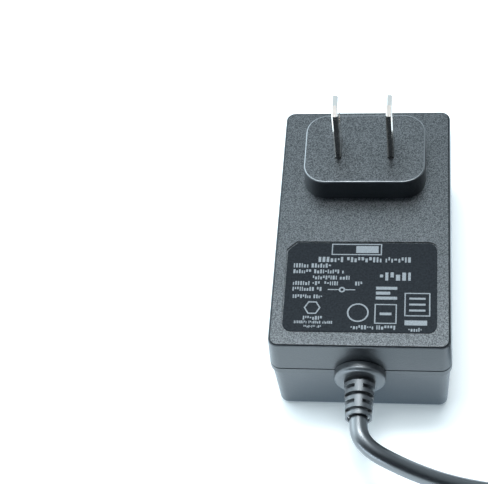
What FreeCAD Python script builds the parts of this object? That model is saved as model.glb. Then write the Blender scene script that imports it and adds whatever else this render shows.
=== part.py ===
import FreeCAD
import Part
import math
import os

import Sketcher

# A wall-plug power adapter with two flat blades on a raised boss and a lead to a barrel plug.
# Millimetres. The adapter lies on its back with the blades up: +Z is up, +Y is towards the
# blade end, -Y is the end that the lead leaves, and the origin is under the middle of the back.

# Driving dimensions: name of the sheet's cell, value and what it measures
DRIVING = (
    ("housing_width", 42.4, "across the housing at the parting line"),
    ("housing_length", 69.8, "along the housing at the parting line"),
    ("housing_height", 29.2, "from the back to the blade-side face"),
    ("parting_height", 19.3, "from the back to the parting line"),
    ("corner_radius", 2.7, "upright corners, at the parting line"),
    ("top_draft", 2.6, "degrees, draft of the upper walls"),
    ("base_draft", 2.0, "degrees, draft of the lower walls"),
    ("band_height", 2.0, "band of the lower shell under the parting line"),
    ("band_step", 0.3, "how far the lower walls stand back from the band"),
    ("wall", 1.9, "side wall thickness"),
    ("floor_thickness", 2.0, "back wall thickness"),
    ("top_thickness", 2.0, "blade-side wall thickness"),
    ("cavity_radius", 1.6, "upright corners of the hollow"),
    ("top_edge_radius", 0.6, "rounding round the blade-side face"),
    ("bottom_edge_radius", 1.4, "rounding round the back"),
    ("seam_bevel", 0.2, "both shells, outer edge at the parting line"),
    ("tongue_thickness", 0.9, "weld tongue on the lower shell"),
    ("tongue_height", 1.2, "weld tongue above the parting line"),
    ("weld_clearance", 0.1, "round the tongue"),
    ("boss_width", 29.6, "across the boss at its foot"),
    ("boss_depth", 21.2, "along the boss at its foot"),
    ("boss_height", 6.3, "boss above the face"),
    ("boss_draft", 1.5, "degrees, draft of the boss"),
    ("boss_corner_radius", 5.5, "upright corners of the boss at its foot"),
    ("boss_edge_radius", 0.35, "rounding round the boss's top"),
    ("boss_wall", 2.2, "wall and top thickness of the boss"),
    ("boss_position", 0.255, "middle of the boss from the housing's, share of its length"),
    ("blade_spacing", 12.7, "between the blades' middles"),
    ("blade_width", 6.35, "flat blade"),
    ("blade_thickness", 1.5, "flat blade"),
    ("blade_length", 17.8, "blade above the boss"),
    ("blade_tip_cut", 1.6, "cut corners of the tip, across"),
    ("blade_tip_rise", 2.15, "cut corners of the tip, along"),
    ("blade_bevel", 0.3, "bevel along the blade's edges"),
    ("blade_hole_radius", 1.6, "hole through the blade"),
    ("blade_hole_height", 11.7, "hole above the boss"),
    ("blade_fit", 0.05, "round each blade in its slot"),
    ("shoulder_width", 8.6, "shoulder that seats under the boss's top"),
    ("shoulder_height", 1.3, "shoulder"),
    ("tail_width", 4.0, "blade inside the housing"),
    ("tail_length", 7.6, "blade below its shoulder"),
    ("carrier_thickness", 2.4, "plate that holds the blades in"),
    ("carrier_gap", 0.4, "round the plate in the boss"),
    ("stake_radius", 1.1, "posts that the plate is staked to"),
    ("stake_reach", 0.5, "posts through the plate"),
    ("stake_position", 10.0, "posts, from the middle"),
    ("label_side_margin", 3.55, "rating label to the housing's sides"),
    ("label_front_margin", 4.4, "rating label to the lead's end"),
    ("label_thickness", 0.15, "rating label"),
    ("label_radius", 2.1, "three round corners"),
    ("label_cut", 2.3, "one cut corner"),
    ("label_boss_gap", 13.15, "rating label to the boss's foot"),
    ("recess_depth", 0.3, "recess that holds the label"),
    ("recess_margin", 0.3, "recess round the label"),
    ("board_thickness", 1.6, "circuit board"),
    ("board_side_gap", 0.8, "board to the side walls"),
    ("board_back_gap", 0.8, "board to the wall at the blade end"),
    ("board_front_gap", 4.4, "board to the wall at the lead's end"),
    ("board_corner_radius", 1.5, "circuit board"),
    ("standoff_height", 4.0, "board above the floor"),
    ("standoff_radius", 2.5, "posts under the board"),
    ("peg_radius", 1.0, "pegs through the board"),
    ("peg_height", 1.2, "pegs above the standoffs"),
    ("peg_inset", 3.2, "pegs from the board's edges"),
    ("hold_down_radius", 2.0, "posts from the upper shell"),
    ("small_gap", 0.1, "between pieces that slip together"),
    ("leg_stub", 1.2, "component legs under the board"),
    ("leg_sink", 0.6, "component legs inside their body"),
    ("hole_gap", 0.15, "round each leg in the board"),
    ("relief_drop", 1.8, "lead's axis under the parting line"),
    ("flange_radius", 6.05, "strain relief, outer flange"),
    ("flange_thickness", 2.3, "strain relief, outer flange"),
    ("flange_edge_radius", 1.0, "strain relief, rounding of the outer flange"),
    ("neck_width", 7.6, "strain relief, square neck in the wall"),
    ("inner_flange_radius", 5.3, "strain relief, flange behind the wall"),
    ("inner_flange_thickness", 1.5, "strain relief, flange behind the wall"),
    ("sleeve_length", 9.4, "strain relief, slotted sleeve"),
    ("sleeve_root_radius", 3.65, "strain relief, sleeve at the flange"),
    ("sleeve_end_radius", 3.05, "strain relief, sleeve at its end"),
    ("mouth_radius", 2.6, "strain relief, mouth round the lead"),
    ("mouth_depth", 0.8, "strain relief, mouth round the lead"),
    ("slot_core_radius", 2.35, "strain relief, left inside the slots"),
    ("slot_width", 0.95, "strain relief"),
    ("slot_pitch", 1.9, "strain relief, slot to slot"),
    ("first_slot", 0.55, "strain relief, first slot from the flange"),
    ("side_slot_angle", 148.0, "degrees, slots open to the sides"),
    ("upper_slot_angle", 158.0, "degrees, slots open above and below"),
    ("saddle_thickness", 1.6, "rib behind the inner flange"),
    ("saddle_width", 13.0, "rib behind the inner flange"),
    ("lead_radius", 0.7, "insulated inner leads"),
    ("lead_offset", 1.1, "inner leads, from the middle"),
    ("lead_bend", 3.0, "inner leads, bend radius"),
    ("cord_radius", 2.1, "round outer lead"),
    ("coil_x", 66.85, "middle of the coil"),
    ("coil_y", -25.7, "middle of the coil"),
    ("coil_mean_radius", 21.5, "middle of the coil's turns"),
    ("coil_band", 21.5, "coil, innermost to outermost turn"),
    ("coil_layer_pitch", 4.25, "coil, lower to upper layer"),
    ("coil_lift", 0.5, "coil above the ground, on its tie"),
    ("tie_width", 7.0, "strap round the coil"),
    ("plug_radius", 4.75, "plug, moulded grip"),
    ("plug_rear_radius", 3.1, "plug, rear end"),
    ("plug_length", 21.0, "plug, moulded grip"),
    ("plug_rear_length", 8.0, "plug, narrow rear part"),
    ("plug_nose_length", 3.0, "plug, narrow nose"),
    ("plug_nose_radius", 3.9, "plug, narrow nose"),
    ("plug_groove_depth", 0.55, "plug, grip grooves"),
    ("plug_groove_width", 0.9, "plug, grip grooves"),
    ("plug_x", 95.9, "plug, place of its axis"),
    ("plug_rear_y", 3.0, "plug, place of its rear end"),
    ("barrel_radius", 2.75, "plug, metal sleeve"),
    ("barrel_length", 9.5, "plug, metal sleeve beyond the nose"),
    ("barrel_wall", 0.3, "plug, metal sleeve"),
    ("barrel_seat", 3.0, "plug, metal parts inside the grip"),
    ("barrel_collar_radius", 3.2, "plug, metal sleeve inside the grip"),
    ("pin_bore_radius", 1.05, "plug, hole for the socket's pin"),
    ("pin_bore_depth", 9.0, "plug, hole for the socket's pin"),
    ("pin_contact_wall", 0.3, "plug, tube round the pin hole"),
    ("tip_setback", 0.2, "plug, insulator behind the sleeve's rim"),
)

# The parts on the board. A place is a share of the board from its middle, across it in x and along
# it in y. So are the sizes along the board and the heights that fill the room above it, and a round
# part's radius is a share of the board's narrower way. The rest is in millimetres.
BOARD_PARTS = (
    ("round_part_room", 0.6, "board's length that counts for round parts, against its width"),
    ("fuse_x", -0.265, "fuse, share across"),
    ("fuse_y", 0.418, "fuse, share along"),
    ("fuse_width", 0.11, "fuse, share across"),
    ("fuse_depth", 0.14, "fuse, share along"),
    ("fuse_height", 7.7, "fuse"),
    ("varistor_x", 0.265, "surge varistor, share across"),
    ("varistor_y", 0.425, "surge varistor, share along"),
    ("varistor_radius", 0.097, "surge varistor, share round"),
    ("varistor_thickness", 0.099, "surge varistor, share across"),
    ("varistor_lift", 0.8, "surge varistor above the board"),
    ("x_capacitor_y", 0.428, "mains filter capacitor, share along"),
    ("x_capacitor_width", 0.357, "mains filter capacitor, share across"),
    ("x_capacitor_depth", 0.1, "mains filter capacitor, share along"),
    ("x_capacitor_height", 11.5, "mains filter capacitor"),
    ("line_choke_x", -0.346, "line choke, share across"),
    ("line_choke_y", 0.252, "line choke, share along"),
    ("line_choke_radius", 0.138, "line choke, core's ends, share round"),
    ("line_choke_height", 12.0, "line choke"),
    ("bridge_x", 0.352, "bridge rectifier, share across"),
    ("bridge_y", 0.276, "bridge rectifier, share along"),
    ("bridge_width", 0.234, "bridge rectifier, share across"),
    ("bridge_depth", 0.106, "bridge rectifier, share along"),
    ("bridge_height", 3.2, "bridge rectifier"),
    ("bulk_x", -0.302, "mains storage capacitor, share across"),
    ("bulk_y", 0.043, "mains storage capacitor, share along"),
    ("bulk_radius", 0.173, "mains storage capacitor, share round"),
    ("bulk_height", 0.918, "mains storage capacitor, share of the headroom"),
    ("chip_x", 0.096, "control chip, share across"),
    ("chip_y", 0.113, "control chip, share along"),
    ("chip_width", 0.176, "control chip, share across"),
    ("chip_length", 0.156, "control chip, share along"),
    ("chip_height", 3.3, "control chip"),
    ("snubber_x", 0.253, "snubber resistor, share across"),
    ("snubber_y", 0.053, "snubber resistor, share along"),
    ("snubber_radius", 1.4, "snubber resistor"),
    ("snubber_length", 0.133, "snubber resistor, share along"),
    ("switch_y", 0.053, "power switch, share along"),
    ("rectifier_y", -0.28, "output rectifier, share along"),
    ("package_thickness", 0.121, "power package, whole depth, share across"),
    ("package_width", 0.15, "power package, share along"),
    ("package_height", 0.776, "power package with its tab, share of the headroom"),
    ("package_tab_thickness", 1.3, "power package, metal tab"),
    ("package_lift", 2.5, "power package above the board"),
    ("package_hole_drop", 3.0, "screw below the tab's upper end"),
    ("package_leg_pitch", 2.54, "power package, leg to leg"),
    ("heatsink_face", 0.445, "heatsinks, inner face from the middle, share across"),
    ("heatsink_thickness", 1.5, "heatsinks"),
    ("heatsink_height", 0.939, "heatsinks, share of the headroom"),
    ("heatsink_wing", 3.0, "heatsinks, folded ends"),
    ("primary_heatsink_room", 0.9, "power switch to its heatsink's folded ends"),
    ("secondary_heatsink_room", 0.2, "output rectifier to its heatsink's folded ends"),
    ("screw_radius", 1.5, "heatsink screws"),
    ("screw_head_radius", 2.75, "heatsink screws"),
    ("screw_head_height", 1.8, "heatsink screws"),
    ("screw_head_gap", 0.4, "screw head to the package's moulding"),
    ("core_x", 0.027, "transformer, share across"),
    ("core_y", -0.179, "transformer, share along"),
    ("core_width", 0.549, "transformer core, share across"),
    ("core_depth", 0.091, "transformer core, share along"),
    ("core_height", 0.816, "transformer core, both halves, share of the headroom"),
    ("core_back", 0.13, "transformer core, backs and outer legs, share of its width"),
    ("core_leg", 0.25, "transformer core, centre leg, share of its width"),
    ("core_lift", 0.6, "transformer core above the board"),
    ("bobbin_wall", 0.8, "transformer bobbin"),
    ("bobbin_depth", 0.216, "transformer bobbin, share along"),
    ("bobbin_rail", 2.2, "transformer bobbin, pin rails"),
    ("winding_fill", 0.667, "transformer winding, share of the bobbin's room"),
    ("winding_inset", 0.25, "transformer winding inside the bobbin's ends"),
    ("winding_radius", 2.4, "transformer winding's corners"),
    ("y_capacitor_x", 0.401, "safety capacitor across the isolation gap, share across"),
    ("y_capacitor_y", -0.123, "safety capacitor across the isolation gap, share along"),
    ("y_capacitor_radius", 0.089, "safety capacitor, share round"),
    ("y_capacitor_thickness", 3.0, "safety capacitor"),
    ("y_capacitor_lift", 0.8, "safety capacitor above the board"),
    ("opto_x", -0.385, "optocoupler, share across"),
    ("opto_y", -0.156, "optocoupler, share along"),
    ("opto_width", 0.126, "optocoupler, share across"),
    ("opto_length", 0.106, "optocoupler, share along"),
    ("opto_height", 3.4, "optocoupler"),
    ("output_capacitor_radius", 0.111, "output capacitors, share round"),
    ("output_capacitor_height", 13.0, "output capacitors"),
    ("output_capacitor_1_x", -0.363, "first output capacitor, share across"),
    ("output_capacitor_1_y", -0.322, "first output capacitor, share along"),
    ("output_capacitor_2_x", -0.124, "second output capacitor, share across"),
    ("output_capacitor_2_y", -0.369, "second output capacitor, share along"),
    ("output_choke_x", 0.17, "output choke, share across"),
    ("output_choke_y", -0.372, "output choke, share along"),
    ("output_choke_radius", 0.097, "output choke, core's ends, share round"),
    ("output_choke_height", 9.0, "output choke"),
    ("drum_end", 1.4, "chokes, thickness of the core's ends"),
    ("drum_waist", 0.45, "chokes, core's waist as a share of its ends"),
    ("drum_winding", 0.86, "chokes, winding as a share of the core's ends"),
    ("can_groove", 0.3, "capacitor cans, depth of the crimp"),
    ("can_crimp_height", 2.1, "capacitor cans, crimp above the foot"),
    ("can_score", 0.8, "capacitor cans, dished top as a share of the radius"),
    ("can_leg_share", 0.4, "capacitor cans, legs from the middle as a share of the radius"),
    ("block_leg_share", 0.8, "block parts, rows of legs apart as a share of the body"),
    ("disc_leg_share", 0.7, "dipped discs, legs from the middle as a share of the radius"),
    ("disc_leg_reach", 0.3, "dipped discs, legs up into the disc as a share of the radius"),
    ("contact_thickness", 0.4, "contact springs"),
    ("contact_width", 4.0, "contact springs"),
    ("contact_offset", 0.9, "contact springs' upright, from the blade's tail"),
    ("contact_overlap", 2.6, "contact springs, height of the touching stretch"),
    ("leg_radius", 0.35, "component legs"),
)

# The lead's route from the strain relief to the coil, chosen by hand: it leaves level, turns down and
# to the right, meets the ground and runs on into the coil's outermost turn
CORD_ROUTE = (
    (0.0, -45.8, 17.5),
    (0.0, -49.0, 17.5),
    (0.9, -51.7, 17.3),
    (3.3, -53.9, 16.4),
    (7.1, -55.3, 14.6),
    (12.2, -56.4, 11.7),
    (18.8, -57.2, 8.1),
    (26.6, -57.3, 4.5),
    (35.4, -57.2, 2.2),
    (45.0, -56.8, 2.1),
    (53.6, -56.8, 2.3),
    (61.25, -57.5, 2.6),
)

# The route from the coil's upper, outermost turn to the plug's rear end
TAIL_ROUTE = (
    (99.1, -25.7, 6.85),
    (98.7, -18.3, 6.85),
    (97.8, -10.8, 6.5),
    (95.9, -4.0, 4.75),
    (95.9, 3.0, 4.75),
)

BEND_SHARE = 0.45  # of the shorter run, at each point of a route
PIPE_TOLERANCE = 0.01  # of a tube's volume, against its section times its length
DISC_EDGE_SHARE = 1 / 3  # rounding of a dipped disc's edges, of its thickness
GRIP_GROOVES = 3  # round the plug's rear, as far apart as they are wide
FIRST_GROOVE = 1.5  # from the plug's rear end, in grooves
UPPER_SLOT_ROWS = 3  # round the strain relief, open above and below
SIDE_SLOT_ROWS = 2  # between them, open to the sides

doc = FreeCAD.newDocument("PowerAdapter")
sheet = doc.addObject("Spreadsheet::Sheet", "Sizes")
nodes = []
board_holes = []


class Size:
    """A length: the expression that drives it in the document, and its present value."""

    def __init__(self, text, value):
        self.text = text
        self.value = value

    def __add__(self, other):
        return Size(f"({self.text} + {text(other)})", self.value + value(other))

    def __radd__(self, other):
        return Size(f"({text(other)} + {self.text})", value(other) + self.value)

    def __sub__(self, other):
        return Size(f"({self.text} - {text(other)})", self.value - value(other))

    def __rsub__(self, other):
        return Size(f"({text(other)} - {self.text})", value(other) - self.value)

    def __mul__(self, other):
        return Size(f"({self.text} * {text(other)})", self.value * value(other))

    def __rmul__(self, other):
        return Size(f"({text(other)} * {self.text})", value(other) * self.value)

    def __truediv__(self, other):
        return Size(f"({self.text} / {text(other)})", self.value / value(other))

    def __neg__(self):
        return Size(f"(0 - {self.text})", -self.value)


def smaller(one, other):
    """The smaller of two sizes."""
    return Size(f"min({text(one)}; {text(other)})", min(value(one), value(other)))


def tangent(degrees):
    """The tangent of an angle in degrees."""
    return Size(f"tan({text(degrees)})", math.tan(math.radians(value(degrees))))


def text(number):
    return number.text if isinstance(number, Size) else repr(float(number))


def value(number):
    return number.value if isinstance(number, Size) else float(number)


def fill_sheet():
    """Write each driving dimension into the sheet, and return them as sizes."""
    sizes = {}
    for row, (name, number, meaning) in enumerate(DRIVING + BOARD_PARTS, start=1):
        sheet.set(f"A{row}", name)
        sheet.set(f"B{row}", str(number))
        sheet.set(f"C{row}", meaning)
        sheet.setAlias(f"B{row}", name)
        sizes[name] = Size(f"Sizes.{name}", number)
    doc.recompute()
    return sizes


S = fill_sheet()

# Levels and places that follow from the driving dimensions
TOP = S["housing_height"]
PARTING = S["parting_height"]
BAND_FOOT = PARTING - S["band_height"]
INNER_TOP = TOP - S["top_thickness"]
BOSS_TOP = TOP + S["boss_height"]
BOSS_INNER_TOP = BOSS_TOP - S["boss_wall"]
CAVITY_WIDTH = S["housing_width"] - 2 * (S["band_step"] + S["wall"])
CAVITY_LENGTH = S["housing_length"] - 2 * (S["band_step"] + S["wall"])
BOARD_FOOT = S["floor_thickness"] + S["standoff_height"]
BOARD_TOP = BOARD_FOOT + S["board_thickness"]
BOARD_WIDTH = CAVITY_WIDTH - 2 * S["board_side_gap"]
BOARD_BACK = CAVITY_LENGTH / 2 - S["board_back_gap"]
BOARD_FRONT = S["board_front_gap"] - CAVITY_LENGTH / 2
BOARD_LENGTH = BOARD_BACK - BOARD_FRONT
BOARD_MIDDLE = (BOARD_BACK + BOARD_FRONT) / 2
HEADROOM = INNER_TOP - BOARD_TOP
ROUND_ROOM = smaller(BOARD_WIDTH, S["round_part_room"] * BOARD_LENGTH)
BOSS_Y = S["boss_position"] * S["housing_length"]
PEG_X = BOARD_WIDTH / 2 - S["peg_inset"]
PEG_BACK = BOARD_BACK - S["peg_inset"]
PEG_FRONT = BOARD_FRONT + S["peg_inset"]
PEGS = [(sx * PEG_X, y) for sx in (-1, 1) for y in (PEG_FRONT, PEG_BACK)]
CORD_HEIGHT = PARTING - S["relief_drop"]
FRONT_FACE = -(S["housing_length"] / 2)
FRONT_INNER_FACE = FRONT_FACE + S["band_step"] + S["wall"]
RELIEF_FRONT = FRONT_FACE - S["flange_thickness"]
RELIEF_END = RELIEF_FRONT - S["sleeve_length"]
INNER_FLANGE_FOOT = CORD_HEIGHT - S["inner_flange_radius"]
NECK_END = (FRONT_INNER_FACE + (PARTING - INNER_FLANGE_FOOT) * tangent(S["base_draft"])
            + S["small_gap"])
RELIEF_INNER_END = NECK_END + S["inner_flange_thickness"]
SHOULDER_FOOT = BOSS_INNER_TOP - S["shoulder_height"]
TAIL_FOOT = SHOULDER_FOOT - S["tail_length"]


def across(name):
    """A place or a size across the board, from its share of the board's width."""
    return S[name] * BOARD_WIDTH


def place_along(name):
    """A place along the board, from its share of the board's length."""
    return BOARD_MIDDLE + S[name] * BOARD_LENGTH


def along(name):
    """A size along the board, from its share of the board's length."""
    return S[name] * BOARD_LENGTH


def upward(name):
    """A height over the board, from its share of the room up to the lid."""
    return S[name] * HEADROOM


def around(name):
    """A round part's radius, from its share of the board's narrower way."""
    return S[name] * ROUND_ROOM


def bind(thing, attribute, number):
    """Set one size of an object, bound to the sheet where it comes from there."""
    if isinstance(number, Size):
        thing.setExpression(attribute, number.text)
    else:
        setattr(thing, attribute, number)


def place(thing, x, y, z):
    for axis, number in zip("xyz", (x, y, z)):
        thing.setExpression(f"Placement.Base.{axis}", text(number))


def node(thing, name):
    """Name a finished piece after the part that it is."""
    thing.Label = name
    nodes.append(thing)
    return thing


# Primitives and booleans

TURNS = {
    "Z": FreeCAD.Rotation(),
    "X": FreeCAD.Rotation(FreeCAD.Vector(0, 1, 0), 90),
    "Y": FreeCAD.Rotation(FreeCAD.Vector(1, 0, 0), -90),
}


def box(name, x, y, z, width, depth, height):
    """A block with the middle of its underside at x, y, z."""
    thing = doc.addObject("Part::Box", name)
    bind(thing, "Length", width)
    bind(thing, "Width", depth)
    bind(thing, "Height", height)
    place(thing, x - width / 2, y - depth / 2, z)
    return thing


def cylinder(name, x, y, z, radius, length, along="Z"):
    """A cylinder that starts at x, y, z and runs along one axis."""
    thing = doc.addObject("Part::Cylinder", name)
    bind(thing, "Radius", radius)
    bind(thing, "Height", length)
    thing.Placement = FreeCAD.Placement(FreeCAD.Vector(), TURNS[along])
    place(thing, x, y, z)
    return thing


def fuse(name, things):
    thing = doc.addObject("Part::MultiFuse", name)
    thing.Shapes = things
    thing.Refine = True
    return thing


def cut(name, base, tools):
    thing = doc.addObject("Part::Cut", name)
    thing.Base = base
    thing.Tool = tools[0] if len(tools) == 1 else fuse(f"{name}_tools", tools)
    return thing


# Sketches and features of a body

def new_body(name):
    body = doc.addObject("PartDesign::Body", name)
    return node(body, name)


def origin_part(body, role):
    return [part for part in body.Origin.OriginFeatures if part.Role == role][0]


def sketch(body, name, plane, x=0, y=0, z=0):
    """A sketch on one of the body's own planes, moved by x, y, z in the sketch's own axes."""
    drawing = body.newObject("Sketcher::SketchObject", name)
    drawing.AttachmentSupport = (origin_part(body, plane), [""])
    drawing.MapMode = "FlatFace"
    for axis, number in zip("xyz", (x, y, z)):
        drawing.setExpression(f"AttachmentOffset.Base.{axis}", text(number))
    return drawing


def constrain(drawing, kind, *arguments):
    """Add one constraint, whose last argument is a size."""
    number = arguments[-1]
    index = drawing.addConstraint(Sketcher.Constraint(kind, *arguments[:-1], value(number)))
    if isinstance(number, Size):
        drawing.setExpression(f"Constraints[{index}]", number.text)


def polygon(drawing, points):
    """A closed outline with straight sides."""
    first = drawing.GeometryCount
    count = len(points)
    spots = [FreeCAD.Vector(value(x), value(y), 0) for x, y in points]
    for i in range(count):
        drawing.addGeometry(Part.LineSegment(spots[i], spots[(i + 1) % count]), False)
    for i in range(count):
        following = first + (i + 1) % count
        drawing.addConstraint(Sketcher.Constraint("Coincident", first + i, 2, following, 1))
    for i, (x, y) in enumerate(points):
        constrain(drawing, "DistanceX", -1, 1, first + i, 1, x)
        constrain(drawing, "DistanceY", -1, 1, first + i, 1, y)
    return drawing


def rounded_rectangle(drawing, width, length, radius):
    """A rectangle about the sketch's origin with round corners."""
    first = drawing.GeometryCount
    w, l, r = value(width) / 2, value(length) / 2, value(radius)
    corners = ((w, l, 0), (-w, l, 90), (-w, -l, 180), (w, -l, 270))
    up = FreeCAD.Vector(0, 0, 1)
    arcs = []
    for x, y, start in corners:
        centre = FreeCAD.Vector(x - math.copysign(r, x), y - math.copysign(r, y), 0)
        circle = Part.Circle(centre, up, r)
        arcs.append(Part.ArcOfCircle(circle, math.radians(start), math.radians(start + 90)))
    for i, arc in enumerate(arcs):
        drawing.addGeometry(arc, False)
        drawing.addGeometry(Part.LineSegment(arc.EndPoint, arcs[(i + 1) % 4].StartPoint), False)
    for i in range(4):
        arc, line, following = first + 2 * i, first + 2 * i + 1, first + (2 * i + 2) % 8
        drawing.addConstraint(Sketcher.Constraint("Tangent", arc, 2, line, 1))
        drawing.addConstraint(Sketcher.Constraint("Tangent", line, 2, following, 1))
        drawing.addConstraint(Sketcher.Constraint("Vertical" if i % 2 else "Horizontal", line))
    for i in (1, 2, 3):
        drawing.addConstraint(Sketcher.Constraint("Equal", first, first + 2 * i))
    top, left, bottom, right = (first + i for i in (1, 3, 5, 7))
    drawing.addConstraint(Sketcher.Constraint("Symmetric", top, 1, bottom, 1, -1, 1))
    constrain(drawing, "DistanceX", left, 1, right, 1, width)
    constrain(drawing, "DistanceY", bottom, 1, top, 1, length)
    constrain(drawing, "Radius", first, radius)
    return drawing


def circles(drawing, centres, radius):
    for x, y in centres:
        centre = FreeCAD.Vector(value(x), value(y), 0)
        circle = Part.Circle(centre, FreeCAD.Vector(0, 0, 1), value(radius))
        index = drawing.addGeometry(circle, False)
        constrain(drawing, "DistanceX", -1, 1, index, 3, x)
        constrain(drawing, "DistanceY", -1, 1, index, 3, y)
        constrain(drawing, "Radius", index, radius)
    return drawing


def pad(body, name, drawing, length, taper=0, down=False, middle=False):
    """Add material from a sketch: upwards, downwards or to both sides of it."""
    feature = body.newObject("PartDesign::Pad", name)
    feature.Profile = drawing
    bind(feature, "Length", length)
    bind(feature, "TaperAngle", taper)
    feature.Reversed = down
    feature.SideType = "Symmetric" if middle else "One side"
    doc.recompute()
    return feature


def pocket(body, name, drawing, depth, taper=0, up=False, middle=False):
    """Take material away below a sketch, above it or on both sides, and see that some went."""
    before = body.Shape.Volume
    feature = body.newObject("PartDesign::Pocket", name)
    feature.Profile = drawing
    bind(feature, "Length", depth)
    bind(feature, "TaperAngle", taper)
    feature.Reversed = up
    feature.SideType = "Symmetric" if middle else "One side"
    doc.recompute()
    must_shrink(body, name, before)
    return feature


def revolve(body, name, drawing, axis):
    feature = body.newObject("PartDesign::Revolution", name)
    feature.Profile = drawing
    feature.ReferenceAxis = axis
    feature.Angle = 360
    doc.recompute()
    return feature


def groove(body, name, drawing, axis, angle):
    """Turn a cut part of the way round an axis, half to each side of the sketch."""
    before = body.Shape.Volume
    feature = body.newObject("PartDesign::Groove", name)
    feature.Profile = drawing
    feature.ReferenceAxis = axis
    bind(feature, "Angle", angle)
    feature.Midplane = True
    doc.recompute()
    must_shrink(body, name, before)
    return feature


def must_shrink(body, name, before):
    if not body.Shape.Volume < before:
        raise RuntimeError(f"{name} took nothing away")


def edge_names(shape, wanted):
    return [f"Edge{i + 1}" for i, edge in enumerate(shape.Edges) if wanted(edge)]


def level(edge, height):
    """True where a whole edge lies at one height."""
    bounds = edge.BoundBox
    near = 1e-4
    return abs(bounds.ZMin - height) < near and abs(bounds.ZMax - height) < near


def dress(body, name, kind, edges, number):
    """Fillet or chamfer some edges of the body's last feature."""
    base = body.Tip
    feature = body.newObject(f"PartDesign::{kind}", name)
    feature.Base = (base, edges)
    bind(feature, "Radius" if kind == "Fillet" else "Size", number)
    doc.recompute()
    return feature


# Housing

def seam_edges(shape):
    """The outer edges that meet at the parting line."""
    return edge_names(shape, lambda edge: level(edge, PARTING.value))


def bottom_shell():
    """The deep lower shell: drafted walls, the band, weld tongue, board posts and lead saddle."""
    body = new_body("bottom_shell")
    width = S["housing_width"] - 2 * S["band_step"]
    length = S["housing_length"] - 2 * S["band_step"]
    outline = rounded_rectangle(sketch(body, "base_outline", "XY_Plane", z=BAND_FOOT),
                                width, length, S["corner_radius"])
    walls = pad(body, "base_walls", outline, BAND_FOOT, taper=-S["base_draft"], down=True)
    back = edge_names(walls.Shape, lambda edge: level(edge, 0.0))
    dress(body, "back_rounding", "Fillet", back, S["bottom_edge_radius"])
    outline = rounded_rectangle(sketch(body, "band_outline", "XY_Plane", z=BAND_FOOT),
                                S["housing_width"], S["housing_length"], S["corner_radius"])
    band = pad(body, "band", outline, S["band_height"])
    dress(body, "base_seam", "Chamfer", seam_edges(band.Shape), S["seam_bevel"])
    hollow = rounded_rectangle(sketch(body, "base_hollow", "XY_Plane", z=PARTING),
                               CAVITY_WIDTH, CAVITY_LENGTH, S["cavity_radius"])
    pocket(body, "base_cavity", hollow, PARTING - S["floor_thickness"], taper=-S["base_draft"])
    ring = sketch(body, "tongue_outline", "XY_Plane", z=PARTING)
    rounded_rectangle(ring, CAVITY_WIDTH + 2 * S["tongue_thickness"],
                      CAVITY_LENGTH + 2 * S["tongue_thickness"],
                      S["cavity_radius"] + S["tongue_thickness"])
    rounded_rectangle(ring, CAVITY_WIDTH, CAVITY_LENGTH, S["cavity_radius"])
    pad(body, "weld_tongue", ring, S["tongue_height"])
    posts = circles(sketch(body, "standoff_circles", "XY_Plane", z=S["floor_thickness"]),
                    PEGS, S["standoff_radius"])
    pad(body, "standoffs", posts, S["standoff_height"])
    pegs = circles(sketch(body, "peg_circles", "XY_Plane", z=BOARD_FOOT), PEGS, S["peg_radius"])
    pad(body, "pegs", pegs, S["peg_height"])
    saddle_middle = RELIEF_INNER_END + S["small_gap"] + S["saddle_thickness"] / 2
    saddle = polygon(sketch(body, "saddle_outline", "XY_Plane", z=S["floor_thickness"]),
                     rectangle(0, saddle_middle, S["saddle_width"], S["saddle_thickness"]))
    pad(body, "saddle", saddle,
        CORD_HEIGHT - 2 * S["lead_radius"] - S["floor_thickness"])
    cut_relief_notch(body, CORD_HEIGHT - S["neck_width"] / 2 - S["small_gap"],
                     PARTING + 2 * S["tongue_height"])
    return body


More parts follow.
